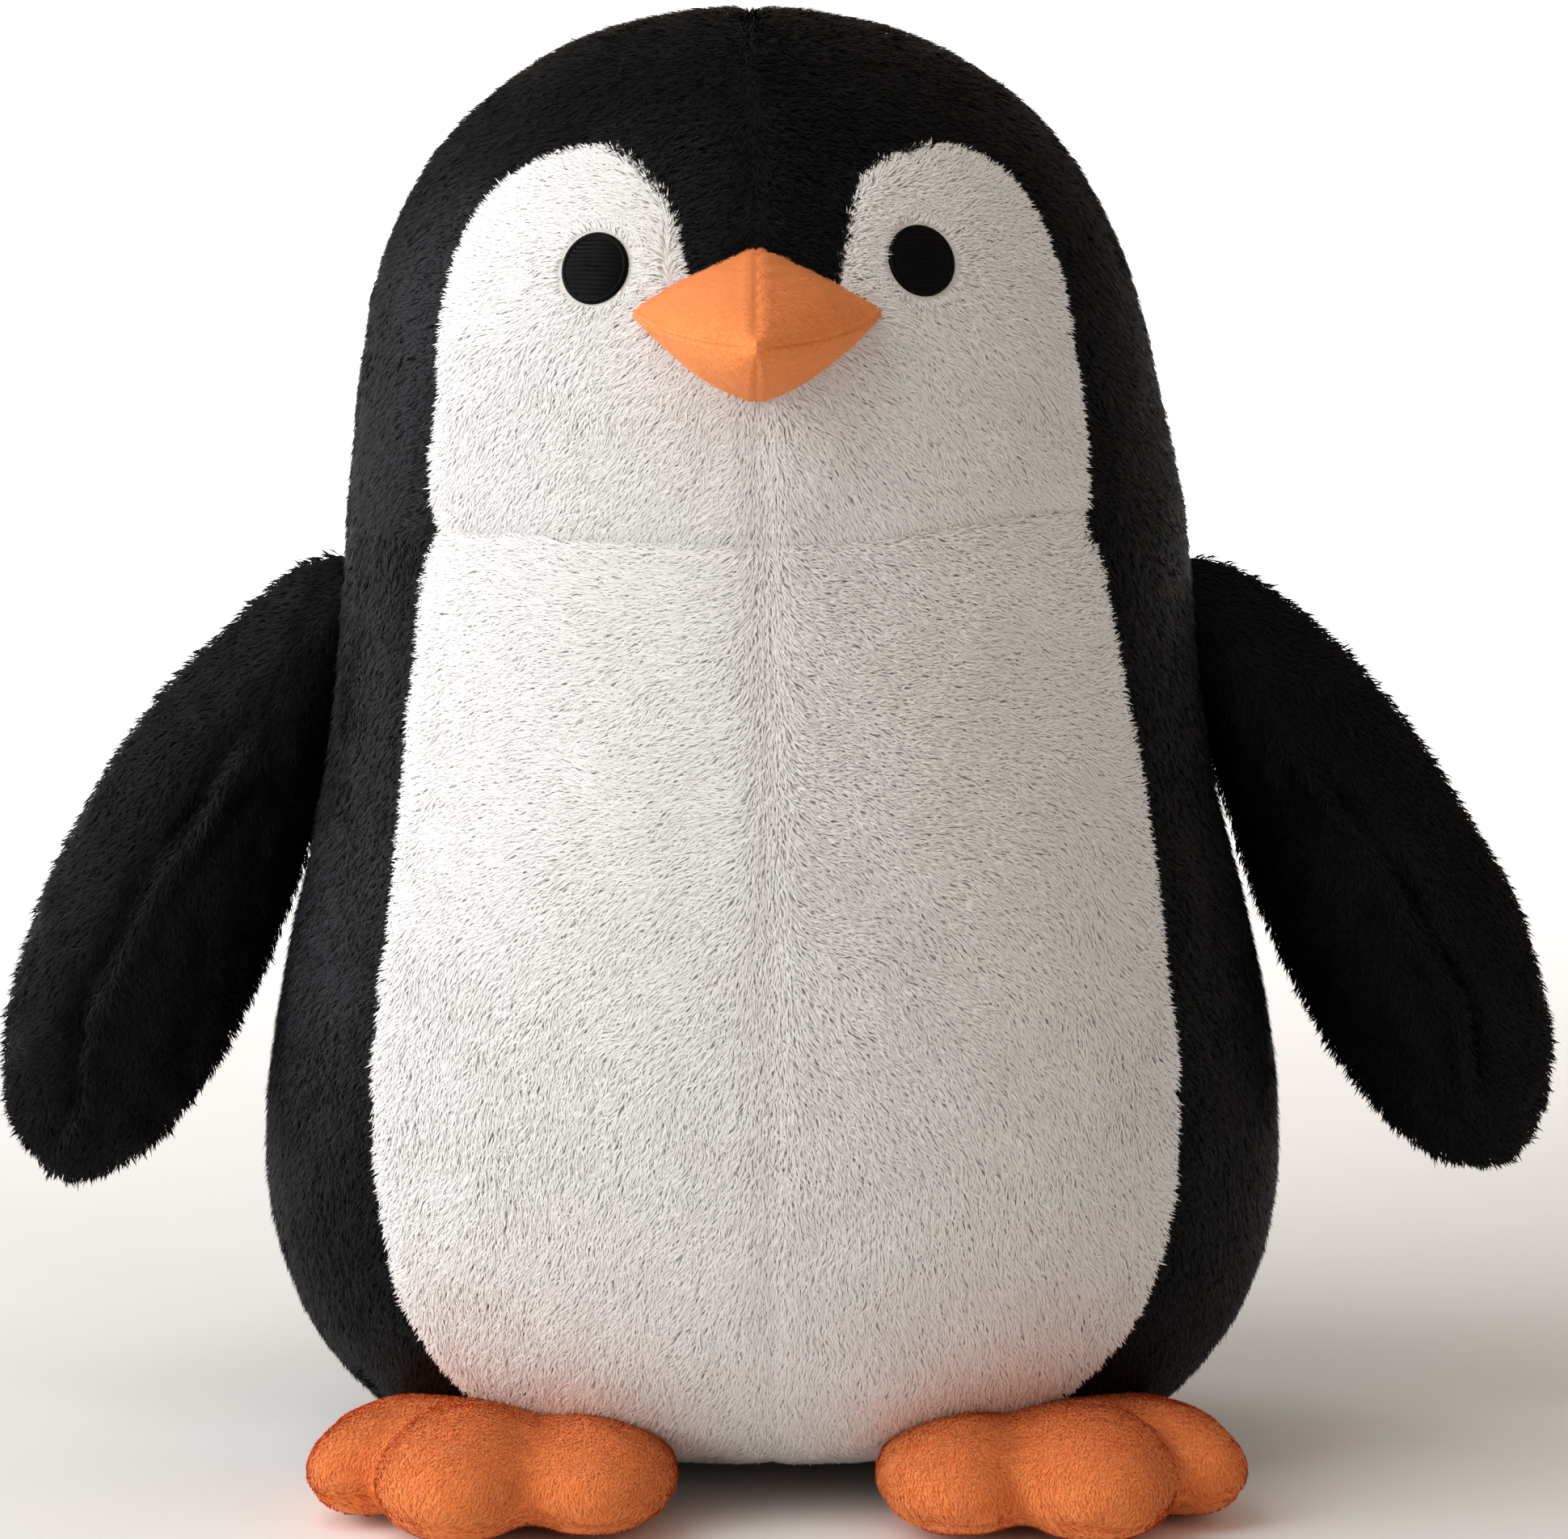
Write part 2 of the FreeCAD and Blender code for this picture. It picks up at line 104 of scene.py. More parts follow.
def pchip(xs, ys):
    xs, ys = np.asarray(xs, float), np.asarray(ys, float)
    d = np.diff(ys) / np.diff(xs)
    m = np.empty_like(ys)
    m[0], m[-1] = d[0], d[-1]
    s = d[:-1] * d[1:]
    m[1:-1] = np.where(s > 0, 2 * s / np.where(np.abs(d[:-1] + d[1:]) < 1e-9, 1, d[:-1] + d[1:]), 0)

    def f(x):
        x = np.clip(x, xs[0], xs[-1])
        i = np.clip(np.searchsorted(xs, x, side="right") - 1, 0, len(xs) - 2)
        h = xs[i + 1] - xs[i]
        t = (x - xs[i]) / h
        return ((2 * t ** 3 - 3 * t * t + 1) * ys[i] + (t ** 3 - 2 * t * t + t) * h * m[i]
                + (3 * t * t - 2 * t ** 3) * ys[i + 1] + (t ** 3 - t * t) * h * m[i + 1])
    return f


# --- seeded lattice noise -----------------------------------------------------
def lattice(i, seed):
    h = (i[:, 0] * 374761393 + i[:, 1] * 668265263 + i[:, 2] * 1440662683 + seed * 974711) & 0xFFFFFFFF
    h = ((h ^ (h >> 13)) * 1274126177) & 0xFFFFFFFF
    h = ((h ^ (h >> 15)) * 2246822519) & 0xFFFFFFFF
    h ^= h >> 16
    return (h & 0xFFFFFF) / float(0xFFFFFF)


def noise(p, cell, seed=0):
    """Smooth value noise, -1 to 1, with features about cell millimetres across."""
    q = np.asarray(p, float) / cell + 1000.0
    i = np.floor(q).astype(np.int64)
    f = q - i
    f = f * f * (3 - 2 * f)
    out = np.zeros(len(q))
    for o in product((0, 1), repeat=3):
        w = np.prod([f[:, k] if o[k] else 1 - f[:, k] for k in range(3)], axis=0)
        out += w * lattice(i + np.array(o), seed)
    return out * 2 - 1


def fbm(p, cell, seed=0, octaves=3):
    out, amp, tot = 0.0, 1.0, 0.0
    for k in range(octaves):
        out = out + amp * noise(p, cell / 2 ** k, seed + 17 * k)
        tot += amp
        amp *= 0.55
    return out / tot


def clumps(p, cell, seed):
    """Nearest of a jittered lattice of tuft centres, and that tuft's own random number."""
    q = p / cell + 1000.0
    b = np.floor(q - 0.5).astype(np.int64)
    best = np.full(len(p), 1e9)
    centre = np.zeros_like(p)
    own = np.zeros(len(p))
    for o in product((0, 1), repeat=3):
        c = b + np.array(o)
        j = np.stack([lattice(c, seed + k) for k in (1, 2, 3)], 1)
        pos = c + 0.15 + 0.7 * j
        d = np.sum((q - pos) ** 2, 1)
        near = d < best
        best = np.where(near, d, best)
        centre[near] = pos[near]
        own[near] = lattice(c[near], seed + 9)
    return (centre - 1000.0) * cell, own


# --- projection of the front elevation ---------------------------------------
BACK = np.array([0.0, -math.cos(CAM_TILT), math.sin(CAM_TILT)])
UP = np.array([0.0, math.sin(CAM_TILT), math.cos(CAM_TILT)])
V_AIM = (1807.0 - 952.0) * PX


def project(p):
    r = np.asarray(p, float) - CAM_AIM
    depth = CAM_DIST - r @ BACK
    s = CAM_DIST / depth
    return r[..., 0] * s + CAM_AIM[0], (r @ UP) * s + V_AIM


# --- trunk --------------------------------------------------------------------
chord = np.concatenate([[0], np.cumsum(np.hypot(np.diff(TRUNK[:, 0]), np.diff(TRUNK[:, 1])))])
T_END = chord[-1]
tz, ta, tf, tb = (pchip(chord, TRUNK[:, c]) for c in range(4))
sway_z = np.array([0, 50, 95, 129, 150, 172, 200.0])
sway_x = np.array([0.5, 0.6, 0.3, -0.3, -1.2, -1.9, -2.1])
sway = pchip(sway_z, sway_x)
fuller = pchip([0, 12, 40, 70, 110, 150, 200], [0.3, 0.9, 1.0, 0.6, 0.2, -0.3, -0.4])


def trunk_outer(theta, t):
    """Pile-tip surface. theta 0 is +X, -90 degrees is the front."""
    z, a, bf, bb = tz(t), ta(t), tf(t), tb(t)
    a = a + fuller(z) * smoothstep(a / 25.0)
    z = z - 1.0 * smoothstep((z - 150.0) / 45.0)
    c, s = np.cos(theta), np.sin(theta)
    y = np.where(s < 0, bf, bb) * s
    return np.stack([a * c + sway(z), y, z], -1)


def trunk_frame(theta, t):
    e = 1e-3
    t = np.minimum(t, T_END - 0.25)
    p = trunk_outer(theta, t)
    dth = trunk_outer(theta + e, t) - trunk_outer(theta - e, t)
    tt = np.clip(t, 0.3, T_END - 0.3)
    dt = trunk_outer(theta, tt + 0.25) - trunk_outer(theta, tt - 0.25)
    return p, unit(np.cross(dth, dt))


face_v = np.array([uv(0, r[0])[1] for r in FACE_ROWS])[::-1]
face_c = [np.array([uv(r[k], 0)[0] for r in FACE_ROWS])[::-1] for k in (1, 2, 3, 4)]
face_c = [face_c[0] + 0.35, face_c[1] + 0.1, face_c[2] - 0.45, face_c[3] + 0.15]
FACE_F = [pchip(face_v, c) for c in face_c]
belly_v = np.array([uv(0, r[0])[1] for r in BELLY_ROWS])[::-1]
belly_c = [np.array([uv(r[k], 0)[0] for r in BELLY_ROWS])[::-1] for k in (1, 2)]
belly_c = [belly_c[0] + 0.45, belly_c[1] + 0.35]
BELLY_F = [pchip(belly_v, c) for c in belly_c]
neck_seam = pchip([-200, -44.9, -22, -2.2, 20, 43.2, 200], [125.9, 125.9, 124.9, 124.3, 126.0, 129.1, 129.6])


def neck_height(p):
    """Signed height above the neck seam: seen on the front elevation, level round the back."""
    u, v = project(p)
    front = v - neck_seam(u)
    back = p[..., 2] - (128.0 - 0.12 * p[..., 1])
    w = smoothstep((p[..., 1] + 30.0) / 30.0)
    return front * (1 - w) + back * w


def white_depth(p, n):
    """Millimetres inside the white (positive) or outside it (negative)."""
    u, v = project(p)
    mid = uv(940, 0)[0]
    facing = n @ BACK
    lo, hi = face_v[0], face_v[-1]
    ol, il, ir, orr = (f(v) for f in FACE_F)
    left = np.minimum(u - ol, il - u)
    right = np.minimum(u - ir, orr - u)
    face = np.where(u < mid, left, right)
    top = hi - v
    face = np.minimum(face, top * 1.0)
    # below the beak the two halves meet, so only the outer edges count
    low = v < uv(0, 420)[1]
    face = np.where(low, np.minimum(u - ol, orr - u), face)
    bl, br = BELLY_F[0](v), BELLY_F[1](v)
    belly = np.minimum(np.minimum(u - bl, br - u), 20.0)
    h = neck_height(p)
    d = np.where(h > 0, face, belly)
    d = np.where(facing > -0.05, d, -20.0)
    return d


# ---------------------------------------------------------------------------
# Cloth: a closed skin swells under a soft pressure while its seams are held
# ---------------------------------------------------------------------------
CLOTH_SCALE = 8.0


def swell(verts, faces, held, cap, pressure=4.0):
    """Moved distance along the outward normal at each vertex, mm. held is 1 on a seam and 0 where free."""
    scene = bpy.context.scene
    me = bpy.data.meshes.new("swelling")
    groups = faces if isinstance(faces, list) else [faces]
    me.from_pydata((verts * MM * CLOTH_SCALE).tolist(), [], [list(map(int, f)) for g in groups for f in g])
    me.update()
    ob = bpy.data.objects.new("swelling", me)
    scene.collection.objects.link(ob)
    vg = ob.vertex_groups.new(name="held")
    for i, w in enumerate(held):
        if w > 0.02:
            vg.add([i], float(min(w, 1.0)), "REPLACE")
    mod = ob.modifiers.new("Cloth", "CLOTH")
    s = mod.settings
    s.quality = 6
    s.mass = 0.3
    s.tension_stiffness = s.compression_stiffness = 12.0
    s.shear_stiffness = 6.0
    s.bending_stiffness = 0.6
    s.use_pressure = True
    s.uniform_pressure_force = pressure
    s.effector_weights.gravity = 0
    s.vertex_group_mass = "held"
    mod.collision_settings.use_collision = False
    mod.collision_settings.use_self_collision = False
    mod.point_cache.frame_start, mod.point_cache.frame_end = 1, 20
    for f in range(1, 21):
        scene.frame_set(f)
    ev = ob.evaluated_get(bpy.context.evaluated_depsgraph_get())
    moved = np.empty(len(verts) * 3, np.float32)
    ev.data.vertices.foreach_get("co", moved)
    nrm = np.empty(len(verts) * 3, np.float32)
    me.vertices.foreach_get("normal", nrm)
    moved = moved.reshape(-1, 3).astype(float) / (MM * CLOTH_SCALE)
    d = np.sum((moved - verts) * nrm.reshape(-1, 3), 1)
    ob.modifiers.remove(mod)
    bpy.data.objects.remove(ob, do_unlink=True)
    bpy.data.meshes.remove(me)
    scene.frame_set(1)
    print("cloth", len(verts), "moved %.2f to %.2f mm" % (d.min(), d.max()))
    return cap * np.tanh(d / cap)


def grid_normals(pts, rows_n, cols_n):
    g = pts.reshape(rows_n, cols_n, 3)
    dc = np.roll(g, -1, 1) - np.roll(g, 1, 1)
    dr = np.gradient(g, axis=0)
    return unit(np.cross(dc, dr)).reshape(-1, 3)


def grid_quads(nu, nv):
    i, j = np.meshgrid(np.arange(nu - 1), np.arange(nv), indexing="ij")
    i, j = i.ravel(), j.ravel()
    jj = (j + 1) % nv
    return np.stack([i * nv + j, i * nv + jj, (i + 1) * nv + jj, (i + 1) * nv + j], 1)


def outwards(v, q, n):
    f = np.cross(v[q[:, 1]] - v[q[:, 0]], v[q[:, -1]] - v[q[:, 0]])
    return q[:, ::-1] if np.mean(np.sum(f * n[q[:, 0]], 1)) < 0 else q


def swell_grid(pts, nrm, nu, nv, held, cap):
    """Cloth swelling of a closed grid skin (both ends closed by fans), as an nu x nv array."""
    q = outwards(pts, grid_quads(nu, nv), nrm)
    v = np.concatenate([pts, pts[:nv].mean(0)[None], pts[-nv:].mean(0)[None]])
    i = np.arange(nv)
    a = np.stack([np.full(nv, nu * nv), i, (i + 1) % nv], 1)
    b = np.stack([np.full(nv, nu * nv + 1), (nu - 1) * nv + i, (nu - 1) * nv + (i + 1) % nv], 1)
    out = [q]
    for cap_f, d0 in ((a, pts[0] - pts[4 * nv]), (b, pts[-1] - pts[-1 - 4 * nv])):
        tn = np.cross(v[cap_f[3, 1]] - v[cap_f[3, 0]], v[cap_f[3, 2]] - v[cap_f[3, 0]])
        out.append(cap_f if tn @ d0 > 0 else cap_f[:, ::-1])
    d = swell(v, out, np.concatenate([held, [1.0, 1.0]]), cap)
    return d[:-2].reshape(nu, nv)


def spread(grid, iu, iv):
    """Bilinear reading of an nu x nv grid, wrapped in v, at fractional rows and columns."""
    nu, nv = grid.shape
    iu = np.clip(iu, 0, nu - 1.001)
    a, b = np.floor(iu).astype(int), np.floor(iv).astype(int)
    fu, fv = iu - a, iv - b
    fu, fv = fu * fu * (3 - 2 * fu), fv * fv * (3 - 2 * fv)
    b0, b1 = b % nv, (b + 1) % nv
    return ((1 - fu) * ((1 - fv) * grid[a, b0] + fv * grid[a, b1])
            + fu * ((1 - fv) * grid[a + 1, b0] + fv * grid[a + 1, b1]))


z_table = np.linspace(0, T_END, 1500)
zz_, za_, zf_, zb_ = tz(z_table), ta(z_table), tf(z_table), tb(z_table)


def inside_trunk(p, depth):
    a = np.interp(p[:, 2], zz_, za_) - depth
    b = np.where(p[:, 1] < 0, np.interp(p[:, 2], zz_, zf_), np.interp(p[:, 2], zz_, zb_)) - depth
    return ((p[:, 0] / a) ** 2 + (p[:, 1] / b) ** 2 < 1) & (p[:, 2] > 0)


NT, NR = 320, 212
theta = -math.pi / 2 + 2 * math.pi * (np.arange(NT)) / NT
rows = np.linspace(0.0, T_END - 0.4, NR)
TH, RR = np.meshgrid(theta, rows)          # rows x columns
outer_grid, norm_grid = trunk_frame(TH.ravel(), RR.ravel())


def seam_groove(p, n):
    """How near each point is to the centre seam, the neck seam and the white's edge (1 on it), with its depth in the
    white and height above the neck seam.
    """
    x = p[:, 0] - sway(p[:, 2])
    wave = 0.35 * noise(np.stack([p[:, 2] * 0, p[:, 1] * 0, p[:, 2]], 1), 9.0, 5)
    front = p[:, 1] < 0
    u, v = project(p)
    # centre seam: nearness to the middle line, with a wave on the front
    centre = np.exp(-((x + np.where(front, wave, 0)) / 1.9) ** 2)
    h = neck_height(p)
    neck = np.exp(-((h + 0.3 * noise(p, 8.0, 6)) / 1.1) ** 2)
    w = white_depth(p, n)
    edge = np.exp(-(w / 1.6) ** 2)
    return centre, neck, edge, w, h


ce, ne, ed, wd, hh = seam_groove(outer_grid, norm_grid)
on_white = smoothstep(wd / 3.0 + 0.8)
draw = (0.14 + 0.06 * on_white) * ce + (0.06 + 0.52 * on_white) * ne + 0.15 * ed - 0.25 - 0.12 * on_white
lump = 0.35 * fbm(outer_grid, 26.0, 11, 3) + 0.12 * noise(outer_grid, 7.0, 12)
# cloth simulation of the stuffed skin on a coarser net, its seams held
CU, CV = 54, 88
cth = -math.pi / 2 + 2 * math.pi * np.arange(CV) / CV
crow = np.linspace(0.0, T_END - 0.4, CU)
CTH, CRR = np.meshgrid(cth, crow)
cpts, cnrm = trunk_frame(CTH.ravel(), CRR.ravel())
c_ce, c_ne, c_ed, c_wd, _ = seam_groove(cpts, cnrm)
near_axis = np.abs(cpts[:, 0] - sway(cpts[:, 2])) < 2.6
c_held = np.maximum.reduce([near_axis * 1.0, (np.abs(neck_height(cpts)) < 2.2) * smoothstep(c_wd / 4.0 + 0.5) * 0.9, 0.5 * c_ed,
                            (cpts[:, 2] < 5.0) * 1.0])
swelling = swell_grid(cpts, cnrm, CU, CV, c_held, 1.3)
swelling = swelling - np.mean(swelling)
swell_fine = spread(swelling, RR.ravel() / (T_END - 0.4) * (CU - 1), (TH.ravel() + math.pi / 2) / (2 * math.pi) * CV)
skin_pts = outer_grid - norm_grid * (LIE + draw + 0.4 - lump - 0.6 * swell_fine)[:, None]
skin_pts[:, 2] = np.maximum(skin_pts[:, 2], 0.4)


skin_n = grid_normals(skin_pts, NR, NT)

# ---------------------------------------------------------------------------
# Mesh makers
# ---------------------------------------------------------------------------
def new_object(name, verts, faces, mats, mat_index=None, smooth=True, normals=None):
    """faces is an (n, 3) or (n, 4) array, or a list of such arrays."""
    groups = faces if isinstance(faces, list) else [faces]
    groups = [np.asarray(g, np.int32) for g in groups if len(g)]
    me = bpy.data.meshes.new(name)
    me.vertices.add(len(verts))
    me.vertices.foreach_set("co", (np.asarray(verts, float) * MM).astype(np.float32).ravel())
    loops = np.concatenate([g.ravel() for g in groups])
    sizes = np.concatenate([np.full(len(g), g.shape[1], np.int32) for g in groups])
    starts = np.concatenate([[0], np.cumsum(sizes)[:-1]]).astype(np.int32)
    me.loops.add(len(loops))
    me.loops.foreach_set("vertex_index", loops)
    me.polygons.add(len(sizes))
    me.polygons.foreach_set("loop_start", starts)
    if mat_index is not None:
        me.polygons.foreach_set("material_index", np.asarray(mat_index, np.int32))
    me.polygons.foreach_set("use_smooth", np.full(len(sizes), smooth))
    me.update(calc_edges=True)
    for m in mats:
        me.materials.append(m)
    if normals is not None:
        me.normals_split_custom_set_from_vertices(np.asarray(normals, np.float32))
    ob = bpy.data.objects.new(name, me)
    bpy.context.scene.collection.objects.link(ob)
    return ob


def compact(verts, faces):
    used = np.unique(faces)
    back = np.zeros(len(verts), np.int64)
    back[used] = np.arange(len(used))
    return verts[used], back[faces]


# ---------------------------------------------------------------------------
# Materials
# ---------------------------------------------------------------------------
def material(name, color, rough=0.8, sheen=0.0, sheen_rough=0.5, sheen_tint=None, spec=0.3, scatter=0.0):
    m = bpy.data.materials.new(name)
    m.use_nodes = True
    b = m.node_tree.nodes["Principled BSDF"]
    if scatter > 0:
        b.subsurface_method = "BURLEY"
        b.inputs["Subsurface Weight"].default_value = 1.0
        b.inputs["Subsurface Radius"].default_value = (1.0, 0.95, 0.9)
        b.inputs["Subsurface Scale"].default_value = scatter
    b.inputs["Base Color"].default_value = (*color, 1)
    b.inputs["Roughness"].default_value = rough
    b.inputs["Specular IOR Level"].default_value = spec
    b.inputs["Sheen Weight"].default_value = sheen
    b.inputs["Sheen Roughness"].default_value = sheen_rough
    if sheen_tint is not None:
        b.inputs["Sheen Tint"].default_value = (*sheen_tint, 1)
    return m


def node(m, kind, **values):
    n = m.node_tree.nodes.new(kind)
    for k, v in values.items():
        if k in n.inputs:
            n.inputs[k].default_value = v
        else:
            setattr(n, k, v)
    return n


def cloth(name, low, high, scale, bump=0.3, rough=(0.7, 0.9), fine=6.0, sheen=0.2,
          sheen_tint=None, knit=0.0, spec=0.25, distance=0.0004):
    """Napped or knitted cloth: two scales of colour variation, roughness variation and a bump."""
    m = material(name, high, rough[1], sheen=sheen, sheen_tint=sheen_tint, spec=spec)
    nt = m.node_tree
    b = nt.nodes["Principled BSDF"]
    tc = node(m, "ShaderNodeTexCoord")
    big = node(m, "ShaderNodeTexNoise", Scale=scale, Detail=4.0, Roughness=0.6)
    small = node(m, "ShaderNodeTexNoise", Scale=scale * fine, Detail=3.0, Roughness=0.65)
    nt.links.new(tc.outputs["Object"], big.inputs["Vector"])
    nt.links.new(tc.outputs["Object"], small.inputs["Vector"])
    add = node(m, "ShaderNodeMath", operation="MULTIPLY_ADD")
    nt.links.new(small.outputs["Fac"], add.inputs[0])
    add.inputs[1].default_value = 0.55
    half = node(m, "ShaderNodeMath", operation="MULTIPLY")
    half.inputs[1].default_value = 0.45
    nt.links.new(big.outputs["Fac"], half.inputs[0])
    nt.links.new(half.outputs[0], add.inputs[2])
    ramp = node(m, "ShaderNodeValToRGB")
    ramp.color_ramp.elements[0].position = 0.33
    ramp.color_ramp.elements[0].color = (*low, 1)
    ramp.color_ramp.elements[1].position = 0.66
    ramp.color_ramp.elements[1].color = (*high, 1)
    nt.links.new(add.outputs[0], ramp.inputs["Fac"])
    nt.links.new(ramp.outputs["Color"], b.inputs["Base Color"])
    rr = node(m, "ShaderNodeMapRange")
    rr.inputs["To Min"].default_value, rr.inputs["To Max"].default_value = rough
    nt.links.new(small.outputs["Fac"], rr.inputs["Value"])
    nt.links.new(rr.outputs["Result"], b.inputs["Roughness"])
    bp = node(m, "ShaderNodeBump", Strength=bump, Distance=distance)
    if knit > 0:
        wave = node(m, "ShaderNodeTexWave", Scale=knit, Distortion=1.2, Detail=2.0)
        wave.bands_direction = "Z"
        nt.links.new(tc.outputs["Object"], wave.inputs["Vector"])
        mix = node(m, "ShaderNodeMath", operation="ADD")
        nt.links.new(wave.outputs["Fac"], mix.inputs[0])
        nt.links.new(small.outputs["Fac"], mix.inputs[1])
        nt.links.new(mix.outputs[0], bp.inputs["Height"])
    else:
        nt.links.new(add.outputs[0], bp.inputs["Height"])
    nt.links.new(bp.outputs["Normal"], b.inputs["Normal"])
    return m


WHITE_SKIN = cloth("white_backing_knit", (0.68, 0.66, 0.63), (0.80, 0.785, 0.765), 90, knit=900)
BLACK_SKIN = cloth("black_backing_knit", (0.0025, 0.0025, 0.003), (0.006, 0.006, 0.007), 90, knit=900, sheen=0.05)
# pile palettes run dark to light; tips take slot 1 and up and each root takes the slot below its tip, so the first
# colour is only painted root shade
WHITE_PILE = [material(f"white_pile_{i}", c, 0.95, 0.08, 0.6, (1, 1, 1), 0.05) for i, c in enumerate(
    [(0.80, 0.785, 0.765), (0.825, 0.815, 0.80), (0.845, 0.838, 0.825), (0.86, 0.855, 0.845), (0.872, 0.869, 0.862), (0.885, 0.884, 0.88)])]
BLACK_PILE = [material(f"black_pile_{i}", c, 0.50, 0.0, 0.4, (0.82, 0.84, 0.95), 0.10) for i, c in enumerate(
    [(0.0010, 0.0010, 0.0012), (0.0017, 0.0017, 0.0020), (0.0026, 0.0026, 0.0031), (0.0038, 0.0038, 0.0045), (0.0055, 0.0055, 0.0065), (0.0082, 0.0082, 0.0097)])]


# ---------------------------------------------------------------------------
# Pile: every strand is a real bent leaf-shaped blade of two triangles
# ---------------------------------------------------------------------------
def pile(name, P, N, D, length, width, lean0, lean1, mats, seed, shade, clump_cell=3.0,
         clump_pull=0.45, spread=0.30, soft=0.8, floor=None, roll_sd=0.15, lean_sd=0.12):
    """P roots, N outward normals, D nap direction. shade is 0..1 a strand; each blade's root triangle gets a painted
    shade, one slot darker than its tip.
    """
    rng = np.random.default_rng(seed)
    n = len(P)
    D = unit(D - N * np.sum(D * N, 1)[:, None])
    S = np.cross(N, D)
    ang = rng.normal(0, spread, n)
    d = D * np.cos(ang)[:, None] + S * np.sin(ang)[:, None]
    L = length * (1 + rng.normal(0, 0.10, n)) if np.isscalar(length) else length * (1 + rng.normal(0, 0.10, n))
    l0 = np.clip(lean0 + rng.normal(0, lean_sd, n), 0.0, 1.40)
    l1 = np.clip(lean1 + rng.normal(0, lean_sd, n), 0.1, 1.52)
    mid = P + (N * np.cos(l0)[:, None] + d * np.sin(l0)[:, None]) * (0.5 * L)[:, None]
    tip = mid + (N * np.cos(l1)[:, None] + d * np.sin(l1)[:, None]) * (0.5 * L)[:, None]
    if clump_pull > 0:
        c, own = clumps(P, clump_cell, seed + 3)
        to = c - P
        to = to - N * np.sum(to * N, 1)[:, None]
        r = np.linalg.norm(to, axis=1, keepdims=True)
        to = to * np.minimum(1.0, 1.6 / np.maximum(r, 1e-6))
        tip = tip + to * clump_pull
        mid = mid + to * (clump_pull * 0.35)
        shade = shade + 0.22 * (own - 0.5)
    if floor is not None:
        mid[:, 2] = np.maximum(mid[:, 2], floor)
        tip[:, 2] = np.maximum(tip[:, 2], floor)
    axis = unit(tip - P)
    w = np.cross(axis, N)
    short = np.linalg.norm(w, axis=1) < 0.15
    w[short] = S[short]
    w = unit(w)
    roll = rng.normal(0, roll_sd, n)
    k = np.cross(axis, w)
    w = w * np.cos(roll)[:, None] + k * np.sin(roll)[:, None]
    W = width * (1 + rng.normal(0, 0.15, n))
    a = mid - w * (0.5 * W)[:, None]
    b = mid + w * (0.5 * W)[:, None]
    root = P - N * 0.25
    verts = np.stack([root, a, b, tip], 1).reshape(-1, 3)
    base = np.arange(n)[:, None] * 4
    lower = base + np.array([0, 2, 1])
    upper = base + np.array([1, 2, 3])
    face_n = np.cross(b - a, tip - a)
    flip = np.sum(face_n * N, 1) < 0
    lower[flip] = lower[flip][:, ::-1]
    upper[flip] = upper[flip][:, ::-1]
    faces = np.stack([lower, upper], 1).reshape(-1, 3)
    q = len(mats) - 1
    lit = np.clip(np.rint(shade * (q - 1) + 0.5 + rng.normal(0, 0.55, n)), 1, q).astype(np.int32)
    # the root triangle is painted one slot darker than the tip: painted shade at the root, deep in the pile
    root_shade_slot = np.maximum(lit - 1, 0)
    index = np.stack([root_shade_slot, lit], 1).ravel()
    vn = unit(N * soft + unit(face_n * np.where(flip, -1, 1)[:, None]) * (1 - soft) + rng.normal(0, 0.05, (n, 3)))
    nn = np.repeat(vn[:, None, :], 4, 1)
    nn[:, 3] = unit(vn + d * 0.25)
    return new_object(name, verts, faces, mats, index, True, nn.reshape(-1, 3))


def sample_grid(pts, nrm, quads, density, rng):
    """Even random points on a quad mesh: positions, normals and the quad each lies on."""
    a, b, c, d = (pts[quads[:, k]] for k in range(4))
    area = 0.5 * (np.linalg.norm(np.cross(b - a, c - a), axis=1) + np.linalg.norm(np.cross(c - a, d - a), axis=1))
    want = area * (density if np.isscalar(density) else density)
    count = np.floor(want + rng.random(len(want))).astype(int)
    q = np.repeat(np.arange(len(quads)), count)
    s, t = rng.random(len(q)), rng.random(len(q))
    w = [(1 - s) * (1 - t), s * (1 - t), s * t, (1 - s) * t]
    P = sum(pts[quads[q, k]] * w[k][:, None] for k in range(4))
    N = unit(sum(nrm[quads[q, k]] * w[k][:, None] for k in range(4)))
    return P, N, q


# ---------------------------------------------------------------------------
# Trunk panels and their pile
# ---------------------------------------------------------------------------
r_i, c_i = np.meshgrid(np.arange(NR - 1), np.arange(NT), indexing="ij")
r_i, c_i = r_i.ravel(), c_i.ravel()
n_i = (c_i + 1) % NT
quads = np.stack([r_i * NT + c_i, r_i * NT + n_i, (r_i + 1) * NT + n_i, (r_i + 1) * NT + c_i], 1)
qc = outer_grid[quads].mean(1)
qn = unit(norm_grid[quads].mean(1))


def region_of(p, n):
    """0 head side, 1 back, 2 face, 3 belly; plus 4 for the toy's right."""
    w = white_depth(p, n)
    h = neck_height(p)
    front = p[:, 1] < 0
    r = np.where(h > 0, np.where((w > 0) & front, 2, 0), np.where((w > 0) & front, 3, 1))
    x = p[:, 0] - sway(p[:, 2])
    return r + np.where(x < 0, 4, 0), w, h


q_region, _, _ = region_of(qc, qn)
PANELS = ["head_side", "back", "face", "belly"]
trunk_skins = {}
for k, pn in enumerate(PANELS):
    for side, off in (("left", 0), ("right", 4)):
        sel = quads[q_region == k + off]
        v, f = compact(skin_pts, sel)
        ob = new_object(f"{pn}_skin_{side}", v, f, [WHITE_SKIN if k > 1 else BLACK_SKIN])
        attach(ob, "trunk")
        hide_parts(f"{pn}_panel_{side}")
        trunk_skins[(pn, side)] = ob

